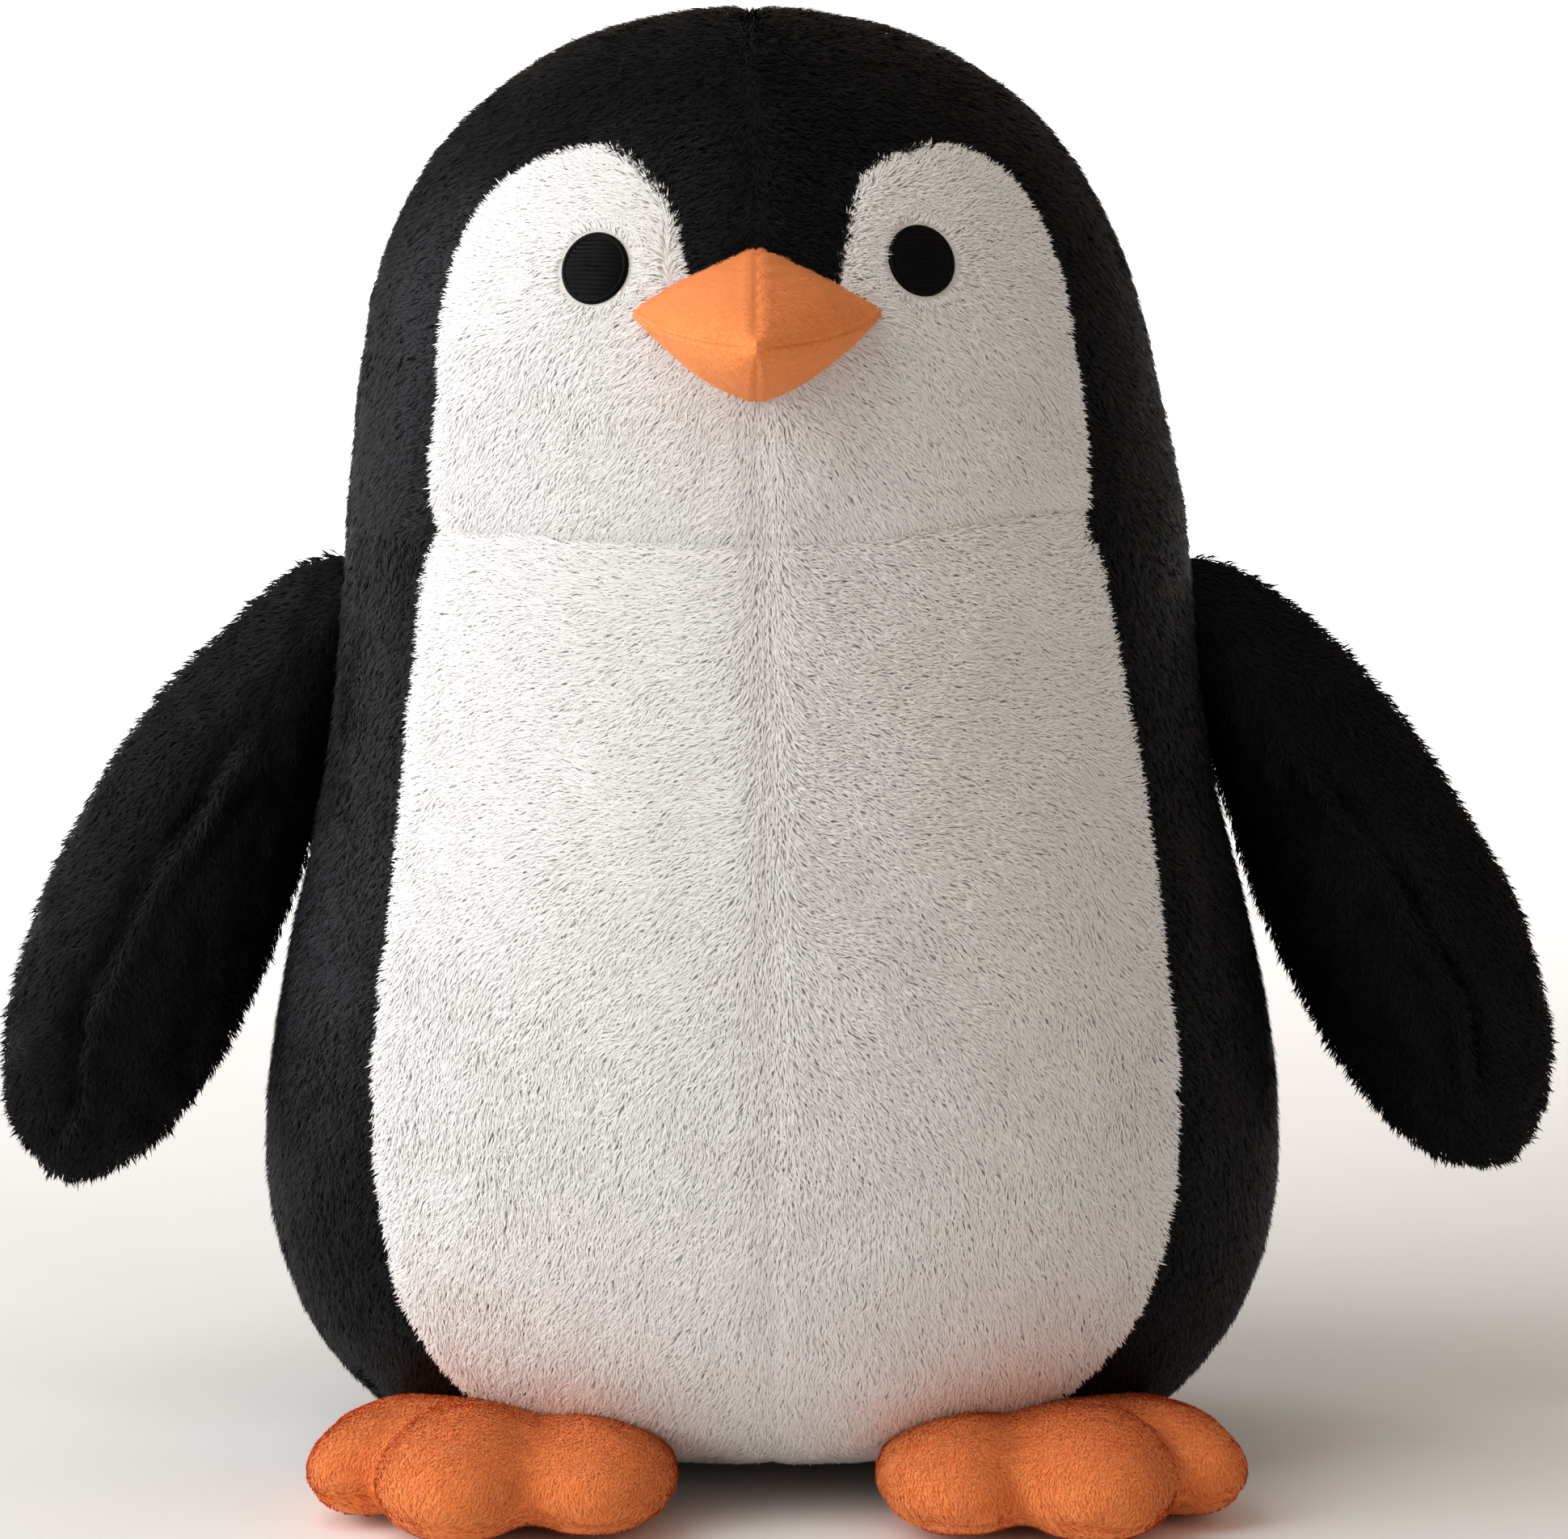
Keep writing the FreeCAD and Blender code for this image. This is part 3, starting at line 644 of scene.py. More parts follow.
rng = np.random.default_rng(71)
front_q = qc[:, 1] < 12
white_q = q_region % 4 > 1
dens = np.where(white_q, np.where(q_region % 4 == 2, 16.0, 13.0), np.where(front_q, 8.0, 3.9))
P, N, q = sample_grid(skin_pts, skin_n, quads, dens, rng)
PO = P + N * LIE
# which cloth each strand grows from is read at its own root, so panel edges are clean
NO = N
reg, wdep, hgt = region_of(PO, NO)
x = PO[:, 0] - sway(PO[:, 2])
sgn = np.tanh((x + 0.9 * noise(PO, 5.0, 66) + 0.5 * rng.normal(0, 1, len(x))) / 1.6)
side_x = np.stack([sgn, np.zeros_like(sgn), np.zeros_like(sgn)], 1)
down = np.tile([0.0, 0.0, -1.0], (len(P), 1))
kind = reg % 4
# nap: sideways off the crown seam, down the sides and back; on the belly out and then down
nap = np.zeros_like(P)
hs = kind == 0
nap[hs] = side_x[hs] * 1.0 + down[hs] * 0.75
bk = kind == 1
nap[bk] = down[bk] * 1.0 + side_x[bk] * 0.18
fc = kind == 2
eye_pull = np.clip((PO[:, 2] - 150) / 30, 0, 1)
nap[fc] = side_x[fc] * 0.75 + down[fc] * (0.75 - 1.1 * eye_pull[fc])[:, None]
bl = kind == 3
ph = np.radians(12 + 62 * smoothstep((112 - PO[:, 2]) / 70))
nap[bl] = side_x[bl] * np.cos(ph[bl])[:, None] + down[bl] * np.sin(ph[bl])[:, None]
# edges of the white: its pile falls outwards over the black
e = 0.6
gw = np.stack([white_depth(PO + np.array(o) * e, NO) - white_depth(PO - np.array(o) * e, NO)
               for o in ((1.0, 0, 0), (0, 0, 1.0))], 1)
outward = -np.stack([gw[:, 0], np.zeros(len(P)), gw[:, 1]], 1)
outward = outward / np.maximum(np.linalg.norm(outward, axis=1, keepdims=True), 1e-6)
near = np.exp(-(np.abs(wdep) / 2.2) ** 2) * np.where(PO[:, 1] < 0, 1.0, 0.0)
nap = unit(nap) + outward * (1.0 * near)[:, None]
# wander of the nap
wob = np.stack([noise(PO, 14.0, 21), noise(PO, 14.0, 22), noise(PO, 14.0, 23)], 1) * 0.40 \
    + np.stack([noise(PO, 4.0, 31), noise(PO, 4.0, 32), noise(PO, 4.0, 33)], 1) * 0.42
nap = nap + wob
seam_run = np.exp(-(x / 3.2) ** 2) * (kind > 1)
nap = nap * (1 - 0.75 * seam_run)[:, None] + np.array([0.0, 0.0, -1.0]) * (0.9 * seam_run)[:, None]
on_seam = np.maximum(0.45 * np.exp(-((x + 0.4 * noise(PO, 6.0, 67)) / 0.9) ** 2), np.exp(-(hgt / 0.9) ** 2) * (kind > 1))
is_white = kind > 1
length = PILE * (1 - 0.16 * on_seam) * (1 + 0.08 * noise(PO, 4.0, 41)) * (1 - 0.32 * near)
# strand tone: random at two scales, plus painted shade that darkens strands along the centre and neck seam valleys
shade = 0.60 + 0.22 * noise(PO, 6.0, 51) + 0.16 * noise(PO, 2.6, 52) - 0.30 * on_seam
lean1 = 1.32 + 0.10 * noise(PO, 9.0, 61)
is_white = kind > 1
# eyes and beak keep their own ground clear of pile


def front_point(u, v):
    """Point and normal of the trunk's pile-tip surface seen at (u, v) on the front elevation."""
    f = (np.abs(project(outer_grid)[0] - u) ** 2 + np.abs(project(outer_grid)[1] - v) ** 2)
    f = np.where(outer_grid[:, 1] < 0, f, 1e9)
    i = int(np.argmin(f))
    th, t = TH.ravel()[i], RR.ravel()[i]
    for _ in range(30):
        p, n = trunk_frame(np.array([th]), np.array([t]))
        pu, pv = project(p)
        e1 = project(trunk_frame(np.array([th + 1e-3]), np.array([t]))[0])
        e2 = project(trunk_frame(np.array([th]), np.array([t + 0.05]))[0])
        J = np.array([[(e1[0][0] - pu[0]) / 1e-3, (e2[0][0] - pu[0]) / 0.05],
                      [(e1[1][0] - pv[0]) / 1e-3, (e2[1][0] - pv[0]) / 0.05]])
        step = np.linalg.solve(J, np.array([u - pu[0], v - pv[0]]))
        th, t = th + step[0], t + step[1]
    p, n = trunk_frame(np.array([th]), np.array([t]))
    return p[0], n[0]


EYES = {"right": uv(732, 329), "left": uv(1145, 319)}
EYE_R = 4.75
eye_at = {s: front_point(*c) for s, c in EYES.items()}
keep = np.ones(len(P), bool)
for s, (c, n) in eye_at.items():
    d = np.linalg.norm((PO - c) - np.outer((PO - c) @ n, n), axis=1)
    close = (d < EYE_R + 0.15) & (np.linalg.norm(PO - c, axis=1) < 9)
    keep &= ~close
    ring = np.exp(-((d - EYE_R) / 1.8) ** 2) * (np.linalg.norm(PO - c, axis=1) < 12)
    away = unit((PO - c) - np.outer((PO - c) @ n, n))
    nap = nap + away * (2.6 * ring)[:, None]
    lean1 = lean1 - 0.30 * ring
    length = length * (1 - 0.30 * ring)
bu, bv = project(PO)
U0, V0 = uv(938, 397)
beak_d = np.abs(bu - U0) / 16.6 + np.where(bv > V0, (bv - V0) / 9.4, (V0 - bv) / 11.0)
keep &= ~((beak_d < 0.86) & (PO[:, 1] < 0))
P, N, nap, length, shade, lean1, reg, kind, wdep, is_white, near = (
    a[keep] for a in (P, N, nap, length, shade, lean1, reg, kind, wdep, is_white, near))
for k, pn in enumerate(PANELS):
    for side, off in (("left", 0), ("right", 4)):
        m = reg == k + off
        white = k > 1
        ob = pile(f"{pn}_pile_{side}", P[m], N[m], nap[m], length[m], 0.23 if white else 0.25,
                  (1.12 - 0.5 * np.minimum(near[m], 0.6)) if white else 0.88, lean1[m] + (0.10 if white else 0.0),
                  WHITE_PILE if white else BLACK_PILE,
                  100 + 10 * k + off, shade[m], clump_cell=1.6 if white else 1.9, clump_pull=0.12 if white else 0.26,
                  soft=1.0 if white else 0.94, floor=0.15, roll_sd=0.08 if white else 0.20, lean_sd=0.08 if white else 0.13)
        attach(ob, "trunk")

# ---------------------------------------------------------------------------
# Base: flat black panel under the body
# ---------------------------------------------------------------------------
nb = 26
bt = -math.pi / 2 + 2 * math.pi * np.arange(120) / 120
rim = trunk_outer(bt, np.full(120, 0.0))[:, :2] * 0.985
ring_v = [np.array([[0.0, 0.0, 1.05]])]
for k in range(1, nb + 1):
    f = k / nb
    zz = 1.05 + 0.18 * noise(np.concatenate([rim * f, np.zeros((120, 1))], 1), 11.0, 71)
    ring_v.append(np.concatenate([rim * f, zz[:, None]], 1))
base_v = np.concatenate(ring_v)
tri = [[0, 1 + (i + 1) % 120, 1 + i] for i in range(120)]
bq = [[1 + (k - 1) * 120 + i, 1 + (k - 1) * 120 + (i + 1) % 120, 1 + k * 120 + (i + 1) % 120, 1 + k * 120 + i]
      for k in range(1, nb) for i in range(120)]
base_skin = new_object("base_skin", base_v, [np.array(bq), np.array(tri)], [BLACK_SKIN])
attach(base_skin, "trunk")
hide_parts("base_panel")
rng = np.random.default_rng(72)
bP, _, _ = sample_grid(base_v, np.tile([0, 0, -1.0], (len(base_v), 1)), np.array(bq), 3.6, rng)
bN = np.tile([0.0, 0.0, -1.0], (len(bP), 1))
bD = np.stack([0.3 * noise(bP, 9, 73), np.ones(len(bP)), np.zeros(len(bP))], 1)
ob = pile("base_pile", bP, bN, bD, 1.9, 0.42, 1.12, 1.42, BLACK_PILE, 170,
          0.5 + 0.3 * noise(bP, 6, 74), clump_cell=2.6, floor=0.12)
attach(ob, "trunk")

# ---------------------------------------------------------------------------
# Inner skins of the trunk's filling: lumpy fibre
# ---------------------------------------------------------------------------
FIBRE = cloth("fibre_filling", (0.60, 0.60, 0.59), (0.86, 0.86, 0.85), 60, bump=0.6, rough=(0.75, 0.95), sheen=0.3)
LINING = cloth("white_lining_weave", (0.66, 0.66, 0.64), (0.82, 0.82, 0.80), 150, bump=0.4, knit=1400)
PELLET = cloth("pellet_plastic", (0.70, 0.71, 0.72), (0.84, 0.85, 0.86), 220, bump=0.08, rough=(0.28, 0.45), sheen=0.0, spec=0.5)


def closed_tube(rings):
    """Closed solid skin from a list of equal rings: quads between them, a fan on each end."""
    n = len(rings[0])
    v = np.concatenate(rings + [rings[0].mean(0)[None], rings[-1].mean(0)[None]])
    m = len(rings)
    i = np.arange(n)
    j = (i + 1) % n
    q = np.concatenate([np.stack([k * n + i, k * n + j, (k + 1) * n + j, (k + 1) * n + i], 1) for k in range(m - 1)])
    t0 = np.stack([np.full(n, m * n), j, i], 1)
    t1 = np.stack([np.full(n, m * n + 1), (m - 1) * n + i, (m - 1) * n + j], 1)
    return v, [q, np.concatenate([t0, t1])]


def filling(name, z_low, z_high, node_name, seed):
    rings = []
    ths = 2 * math.pi * np.arange(72) / 72
    ts = np.linspace(0, T_END - 0.4, 60)
    for t in ts:
        p, n = trunk_frame(ths, np.full(72, t))
        if not z_low + 3.0 < p[0, 2] < z_high + 2.0:
            continue
        q = p - n * (3.6 - 0.7 * fbm(p, 16, seed, 3))[:, None]
        q[:, 2] = np.clip(q[:, 2], z_low, z_high)
        rings.append(q)
    v, f = closed_tube(rings)
    ob = new_object(name, v, f, [FIBRE])
    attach(ob, "trunk")
    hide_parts(node_name)


filling("head_fibre", 129.2, 196.0, "head_stuffing", 81)
filling("body_fibre", 2.8, 126.8, "body_stuffing", 82)

# pellet bag low in the body, and its pellets
BAG_R, BAG_H, BAG_Z = 33.0, 22.0, 4.4


def drum(shrink, lump, seed, nn=72, mm=30):
    rings = []
    for ph in np.linspace(-math.pi / 2 + 0.06, math.pi / 2 - 0.06, mm):
        c, s = math.cos(ph), math.sin(ph)
        e = 0.42
        rr = (BAG_R - shrink) * abs(c) ** e
        zz = BAG_Z + BAG_H / 2 + (BAG_H / 2 - shrink) * math.copysign(abs(s) ** e, s)
        th = 2 * math.pi * np.arange(nn) / nn
        p = np.stack([rr * np.cos(th), -1.5 + rr * np.sin(th), np.full(nn, zz)], 1)
        p[:, :2] *= (1 + lump * noise(p, 9.0, seed) - lump)[:, None]
        rings.append(p)
    return closed_tube(rings)


v, f = drum(0.0, 0.012, 91)
bag = new_object("pellet_pouch", v, f, [LINING])
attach(bag, "trunk")
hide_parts("pellet_bag")

g = np.arange(-36, 37, 5.0)
gx, gy, gz = np.meshgrid(g, g, np.arange(BAG_Z + 4.2, BAG_Z + BAG_H - 3.5, 4.3), indexing="ij")
pc = np.stack([gx.ravel(), gy.ravel() - 1.5, gz.ravel()], 1)
pc += np.stack([noise(pc * 7, 3.0, 92 + k) for k in range(3)], 1) * 0.5
pc = pc[np.hypot(pc[:, 0], pc[:, 1] + 1.5) < BAG_R - 4.2]
lat = np.linspace(-math.pi / 2, math.pi / 2, 7)[1:-1]
pv, pf, base = [], [], 0
unit_v = np.concatenate([np.array([[0, 0, -1.0]])] + [np.stack([np.cos(l) * np.cos(t), np.cos(l) * np.sin(t), np.full(8, np.sin(l))], 1)
                        for l in lat for t in [2 * math.pi * np.arange(8) / 8]] + [np.array([[0, 0, 1.0]])])
uf = [[0, 1 + (i + 1) % 8, 1 + i] for i in range(8)]
for r in range(4):
    for i in range(8):
        a, b = 1 + r * 8 + i, 1 + r * 8 + (i + 1) % 8
        uf += [[a, b, b + 8], [a, b + 8, a + 8]]
uf += [[33 + i, 33 + (i + 1) % 8, 41] for i in range(8)]
uf = np.array(uf)
rng = np.random.default_rng(93)
for c in pc:
    A = rng.normal(size=(3, 3))
    Q, _ = np.linalg.qr(A)
    if np.linalg.det(Q) < 0:
        Q[:, 0] *= -1
    pv.append((unit_v * [2.15, 2.05, 1.6]) @ Q.T + c)
    pf.append(uf + base)
    base += len(unit_v)
pel = new_object("pellet_fill", np.concatenate(pv), np.concatenate(pf), [PELLET])
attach(pel, "trunk")
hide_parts("pellets")


# ---------------------------------------------------------------------------
# Beak: four velour panels, ridged seams between them
# ---------------------------------------------------------------------------
BW, BUP, BDN = 19.6 * K, 9.7 * K, 13.4 * K
BZ, BY0, BY1 = 188.3 * K, -44.0 * K, -78.5 * K
BX = -1.35


def beak_point(s, ph, shrink=0.0):
    """s from the face (0) to the tip (1), ph around it; the toy's left corner is ph = 0, the top is 90 degrees."""
    c, q = np.cos(ph), np.sin(ph)
    f = (1 - np.clip(s, 0, 1) ** 1.65) ** 0.82
    p = 1.08 + 0.72 * s
    r = (np.abs(c) ** p + np.abs(q) ** p) ** (-1 / p)
    up = np.where(q > 0, BUP, BDN)
    y = BY0 - s * (BY0 - BY1 - shrink)
    x = r * c * np.maximum(BW * f - shrink, 0.0)
    # the corner seams bow down a little towards the tip
    z = BZ + r * q * np.maximum(up * f - shrink, 0.0) - 2.4 * np.sin(math.pi * 0.5 * s) * (1 - 0.25 * q)
    return np.stack([x + BX + 0.7 * s * 0, y, z], -1)


BS, BP = 84, 400
bs = 1 - (1 - np.linspace(0, 0.9995, BS)) ** 1.35
bph = 2 * math.pi * np.arange(BP) / BP
S2, P2 = np.meshgrid(bs, bph, indexing="ij")
beak = beak_point(S2.ravel(), P2.ravel())
bn = grid_normals(beak, BS, BP)
out_dir = beak - np.array([BX, 0, BZ - 1.5])
out_dir[:, 1] = -2.0
if np.mean(np.sum(bn * out_dir, 1)) < 0:
    bn = -bn
# distance to the nearest of the four seams, in mm along the section
quarter = np.round(P2.ravel() / (math.pi / 2))
dphi = P2.ravel() - quarter * (math.pi / 2)
rad = np.hypot(beak[:, 0] - BX, beak[:, 2] - BZ + 1.5)
ds = dphi * np.maximum(rad, 0.4)
groove = -0.20 * np.exp(-(ds / 0.26) ** 2) + 0.08 * np.exp(-((np.abs(ds) - 0.75) / 0.40) ** 2)
groove *= smoothstep((0.985 - S2.ravel()) / 0.06)
along = (-beak[:, 1] - 37.0)
stitch = 0.07 * np.cos(2 * math.pi * along / 1.15) * np.exp(-((np.abs(ds) - 0.55) / 0.28) ** 2)
soft_lump = 0.28 * fbm(beak, 7.5, 301, 3) * smoothstep(np.abs(ds) / 2.5)
# fine gathers on the toy's left upper panel beside the upright seam
pq = P2.ravel()
ul = (pq < math.pi / 2) * smoothstep(1 - (math.pi / 2 - pq) / 0.9) * (pq > 0.4)
gather = 0.10 * np.sin(beak[:, 2] * 2 * math.pi / 1.25 + 1.2 * noise(beak, 3.0, 303)) * ul * smoothstep((0.9 - S2.ravel()) / 0.3)
beak = beak + bn * (groove + stitch + soft_lump + gather)[:, None]
bn = grid_normals(beak, BS, BP)
if np.mean(np.sum(bn * out_dir, 1)) < 0:
    bn = -bn
ORANGE_SKIN = cloth("orange_velour_cloth", (0.82, 0.235, 0.066), (0.92, 0.310, 0.100), 70, bump=0.5,
                    rough=(0.85, 0.97), fine=14.0, sheen=0.15, sheen_tint=(1.0, 0.7, 0.45), distance=0.00025, spec=0.08)
# as above, the first colour of each orange pile palette is only painted shade on strand roots
ORANGE_PILE = [material(f"orange_pile_{i}", c, 0.95, 0.08, 0.6, (1.0, 0.75, 0.55), 0.05) for i, c in enumerate(
    [(0.86, 0.235, 0.064), (0.88, 0.250, 0.072), (0.90, 0.268, 0.080), (0.915, 0.288, 0.090), (0.93, 0.308, 0.100), (0.945, 0.330, 0.112)])]
BEAK_PILE = [material(f"beak_pile_{i}", c, 0.95, 0.08, 0.6, (1.0, 0.75, 0.55), 0.05) for i, c in enumerate(
    [(0.87, 0.27, 0.082), (0.89, 0.285, 0.090), (0.91, 0.300, 0.098), (0.93, 0.318, 0.108), (0.945, 0.335, 0.118), (0.96, 0.355, 0.130)])]
si, pi_ = np.meshgrid(np.arange(BS - 1), np.arange(BP), indexing="ij")
si, pi_ = si.ravel(), pi_.ravel()
pj = (pi_ + 1) % BP
beak_quads = np.stack([si * BP + pi_, si * BP + pj, (si + 1) * BP + pj, (si + 1) * BP + pi_], 1)
ff = np.cross(beak[beak_quads[:, 1]] - beak[beak_quads[:, 0]], beak[beak_quads[:, 3]] - beak[beak_quads[:, 0]])
if np.mean(np.sum(ff * bn[beak_quads[:, 0]], 1)) < 0:
    beak_quads = beak_quads[:, ::-1]
bq_phi = bph[pi_] + math.pi / BP
bq_quarter = (bq_phi // (math.pi / 2)).astype(int) % 4       # 0 left upper, 1 right upper, 2 right lower, 3 left lower
beak_names = {0: "beak_upper_panel_left", 1: "beak_upper_panel_right", 2: "beak_lower_panel_right", 3: "beak_lower_panel_left"}
rng = np.random.default_rng(305)
for k, nm in beak_names.items():
    sel = beak_quads[bq_quarter == k]
    v, f = compact(beak, sel)
    ob = new_object(nm.replace("panel", "velour"), v, f, [ORANGE_SKIN])
    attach(ob, "trunk")
    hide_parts(nm)
    Pk, Nk, qk = sample_grid(beak, bn, sel, 15.0, rng)
    hold = Pk[:, 1] < BY0 - 3.0
    Pk, Nk = Pk[hold], Nk[hold]
    Dk = np.stack([np.sign(Pk[:, 0] - BX) * 0.5, np.full(len(Pk), 0.6), -0.5 + 0 * Pk[:, 0]], 1) + 0.5 * np.stack(
        [noise(Pk, 3.0, 310 + j) for j in range(3)], 1)
    ob = pile(nm.replace("panel", "nap"), Pk, Nk, Dk, 0.40, 0.12, 1.00, 1.40, BEAK_PILE, 320 + k,
              0.60 + 0.16 * noise(Pk, 2.0, 330) + 0.10 * noise(Pk, 6.0, 331), clump_cell=0.9, clump_pull=0.12, soft=1.0)
    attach(ob, "trunk")
# filling of the beak
rings = []
for s in np.linspace(0.02, 0.93, 26):
    p = beak_point(np.full(48, s), 2 * math.pi * np.arange(48) / 48, 1.7)
    rings.append(p + np.stack([noise(p, 4, 340 + j) for j in range(3)], 1) * 0.12)
v, f = closed_tube(rings)
ob = new_object("beak_fibre", v, f, [FIBRE])
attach(ob, "trunk")
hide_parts("beak_stuffing")

# ---------------------------------------------------------------------------
# Eyes: domed satin-stitched discs
# ---------------------------------------------------------------------------
THREAD = cloth("black_satin_thread", (0.0006, 0.0006, 0.0007), (0.0018, 0.0018, 0.0021), 260, bump=0.35, rough=(0.30, 0.42),
               fine=5.0, sheen=0.0, spec=0.07, distance=0.0001)
for side, (c0, n0) in eye_at.items():
    ex = unit(np.cross(np.array([0, 0, 1.0]), n0))
    ex = ex if ex[0] > 0 else -ex
    ez = np.cross(n0, ex)
    if ez[2] < 0:
        ez = -ez
    nr, na = 64, 168
    rr = np.linspace(0.0, 1.0, nr + 1)[1:]
    aa = 2 * math.pi * np.arange(na) / na
    RRg, AAg = np.meshgrid(rr * EYE_R, aa, indexing="ij")
    X, Z = (RRg * np.cos(AAg)).ravel(), (RRg * np.sin(AAg)).ravel() * 1.04
    q3 = np.stack([X, Z, np.zeros_like(X)], 1)
    rho = np.hypot(X, Z / 1.04) / EYE_R
    pitch = 0.62
    wavy = Z + 0.07 * noise(q3, 2.2, 401) + 0.02 * X
    fr = np.mod(wavy / pitch, 1.0) * 2 - 1
    thread = 0.20 * np.sqrt(np.clip(1 - fr ** 2, 0, 1)) + 0.03 * np.sin((X + 2.5 * wavy) * 2 * math.pi / 0.5)
    inside = smoothstep((0.865 - rho) / 0.03)
    ringh = 0.34 * np.sqrt(np.clip(1 - ((rho - 0.925) / 0.078) ** 2, 0, 1)) + 0.03 * np.cos(AAg.ravel() * 56 + 0.3 * RRg.ravel())
    dome = 0.95 * (1 - rho ** 2.4)
    h = -1.30 + dome + thread * inside + ringh * (1 - inside)
    h = np.where(rho > 0.985, h - 1.1, h)
    ev = c0 + np.outer(X, ex) + np.outer(Z, ez) + np.outer(h, n0)
    mid = c0 + n0 * (-1.30 + 0.95 + 0.15)
    ev = np.concatenate([ev, mid[None]])
    i, j = np.meshgrid(np.arange(nr - 1), np.arange(na), indexing="ij")
    i, j = i.ravel(), j.ravel()
    jj = (j + 1) % na
    eq = np.stack([i * na + j, i * na + jj, (i + 1) * na + jj, (i + 1) * na + j], 1)[:, ::-1]
    et = np.stack([np.full(na, nr * na), np.arange(na), (np.arange(na) + 1) % na], 1)
    tn = np.cross(ev[et[0, 1]] - ev[et[0, 0]], ev[et[0, 2]] - ev[et[0, 0]])
    if tn @ n0 < 0:
        et, eq = et[:, ::-1], eq[:, ::-1]
    ob = new_object(f"eye_stitching_{side}", ev, [eq, et], [THREAD])
    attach(ob, "trunk")
    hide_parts(f"eye_embroidery_{side}")

# ---------------------------------------------------------------------------
# Wings
# ---------------------------------------------------------------------------
WINGV = np.array([(-12.0, 4.0, -7.0, 1.6), (-9.0, 7.6, -8.0, 2.9), (-5.0, 10.6, -8.0, 4.0), (0.0, 13.2, -8.4, 4.9),
                  (6.0, 15.8, -8.8, 5.6), (12.8, 18.4, -9.4, 6.3), (22.8, 21.2, -10.8, 7.1), (39.3, 23.7, -13.2, 8.0),
                  (55.4, 24.4, -14.2, 8.1), (67.5, 23.4, -13.8, 7.7), (77.4, 21.4, -12.4, 6.9), (86.4, 17.8, -10.0, 5.7),
                  (92.4, 13.8, -6.9, 4.3), (96.4, 9.2, -3.2, 2.9), (98.4, 5.4, 0.4, 1.6), (99.0, 3.4, 2.4, 0.4)])
wch = np.concatenate([[0], np.cumsum(np.hypot(np.diff(WINGV[:, 0]), np.maximum(np.abs(np.diff(WINGV[:, 1])), np.abs(np.diff(WINGV[:, 2])))))])
W_END = wch[-1]
ws, wo, wi, wt = (pchip(wch, WINGV[:, c]) for c in range(4))
ridge = pchip([-12, 0, 16, 46, 70, 89, 98], [-2.0, 0.5, 2.7, 7.8, 8.6, 3.4, 3.0])
WING_LEAN = {"left": math.radians(1.7), "right": math.radians(-0.8)}


def wing_point(t, a, side):
    """a = 0 outer edge, 90 degrees back, 180 inner edge, 270 front."""
    s, o, i, h = ws(t), wo(t), wi(t), wt(t)
    c, q = np.cos(a), np.sin(a)
    r = np.clip(ridge(s), i + 0.35 * (o - i), i + 0.75 * (o - i))
    front = q < 0
    mid = np.where(front, r, 0.5 * (o + i))
    w = mid + np.where(c > 0, (o - mid), (mid - i)) * c
    y_front = -1.12 * h * (1 - np.abs(c) ** 1.45) ** 0.72
    y_back = 0.95 * h * np.sqrt(np.clip(1 - c * c, 0, 1))
    y = 15.0 + np.where(front, y_front, y_back)
    # the wing as a whole dishes a little forward towards its tip
    y = y - 1.2 * smoothstep((s - 10) / 90)
    ux, uz = 0.4399, -0.8980
    x = 70.0 + s * ux + w * (-uz)
    z = 130.0 + s * uz + w * ux
    th = WING_LEAN[side]
    dx, dz = x - 68.0, z - 134.0
    x, z = 68.0 + dx * math.cos(th) - dz * math.sin(th), 134.0 + dx * math.sin(th) + dz * math.cos(th)
    x = x * K
    if side == "right":
        x = -x
    return np.stack([x, y * K, z * K], -1)


def wing_grid(side, nt, na, inset_mm=0.0):
    t = np.linspace(0.0, W_END - 0.05, nt)
    a = 2 * math.pi * np.arange(na) / na
    T, A = np.meshgrid(t, a, indexing="ij")
    p = wing_point(T.ravel(), A.ravel(), side)
    n = grid_normals(p, nt, na)
    axis = np.repeat(p.reshape(nt, na, 3).mean(1), na, 0)
    if np.mean(np.sum(n * (p - axis), 1)) < 0:
        n = -n
    return p - n * inset_mm, n, T.ravel(), A.ravel()


wing_swell = {}
for side in ("left", "right"):
    wp, wn, wtt, waa = wing_grid(side, 34, 28)
    held_w = np.maximum(np.exp(-(np.sin(waa) * 2.2) ** 2), (wtt < 12.0) * 1.0)
    wing_swell[side] = swell_grid(wp, wn, 34, 28, held_w, 1.0)


def SWELL_W(side, t, a):
    g = wing_swell[side]
    return spread(g - g.mean(), t / (W_END - 0.05) * (g.shape[0] - 1), a / (2 * math.pi) * g.shape[1])


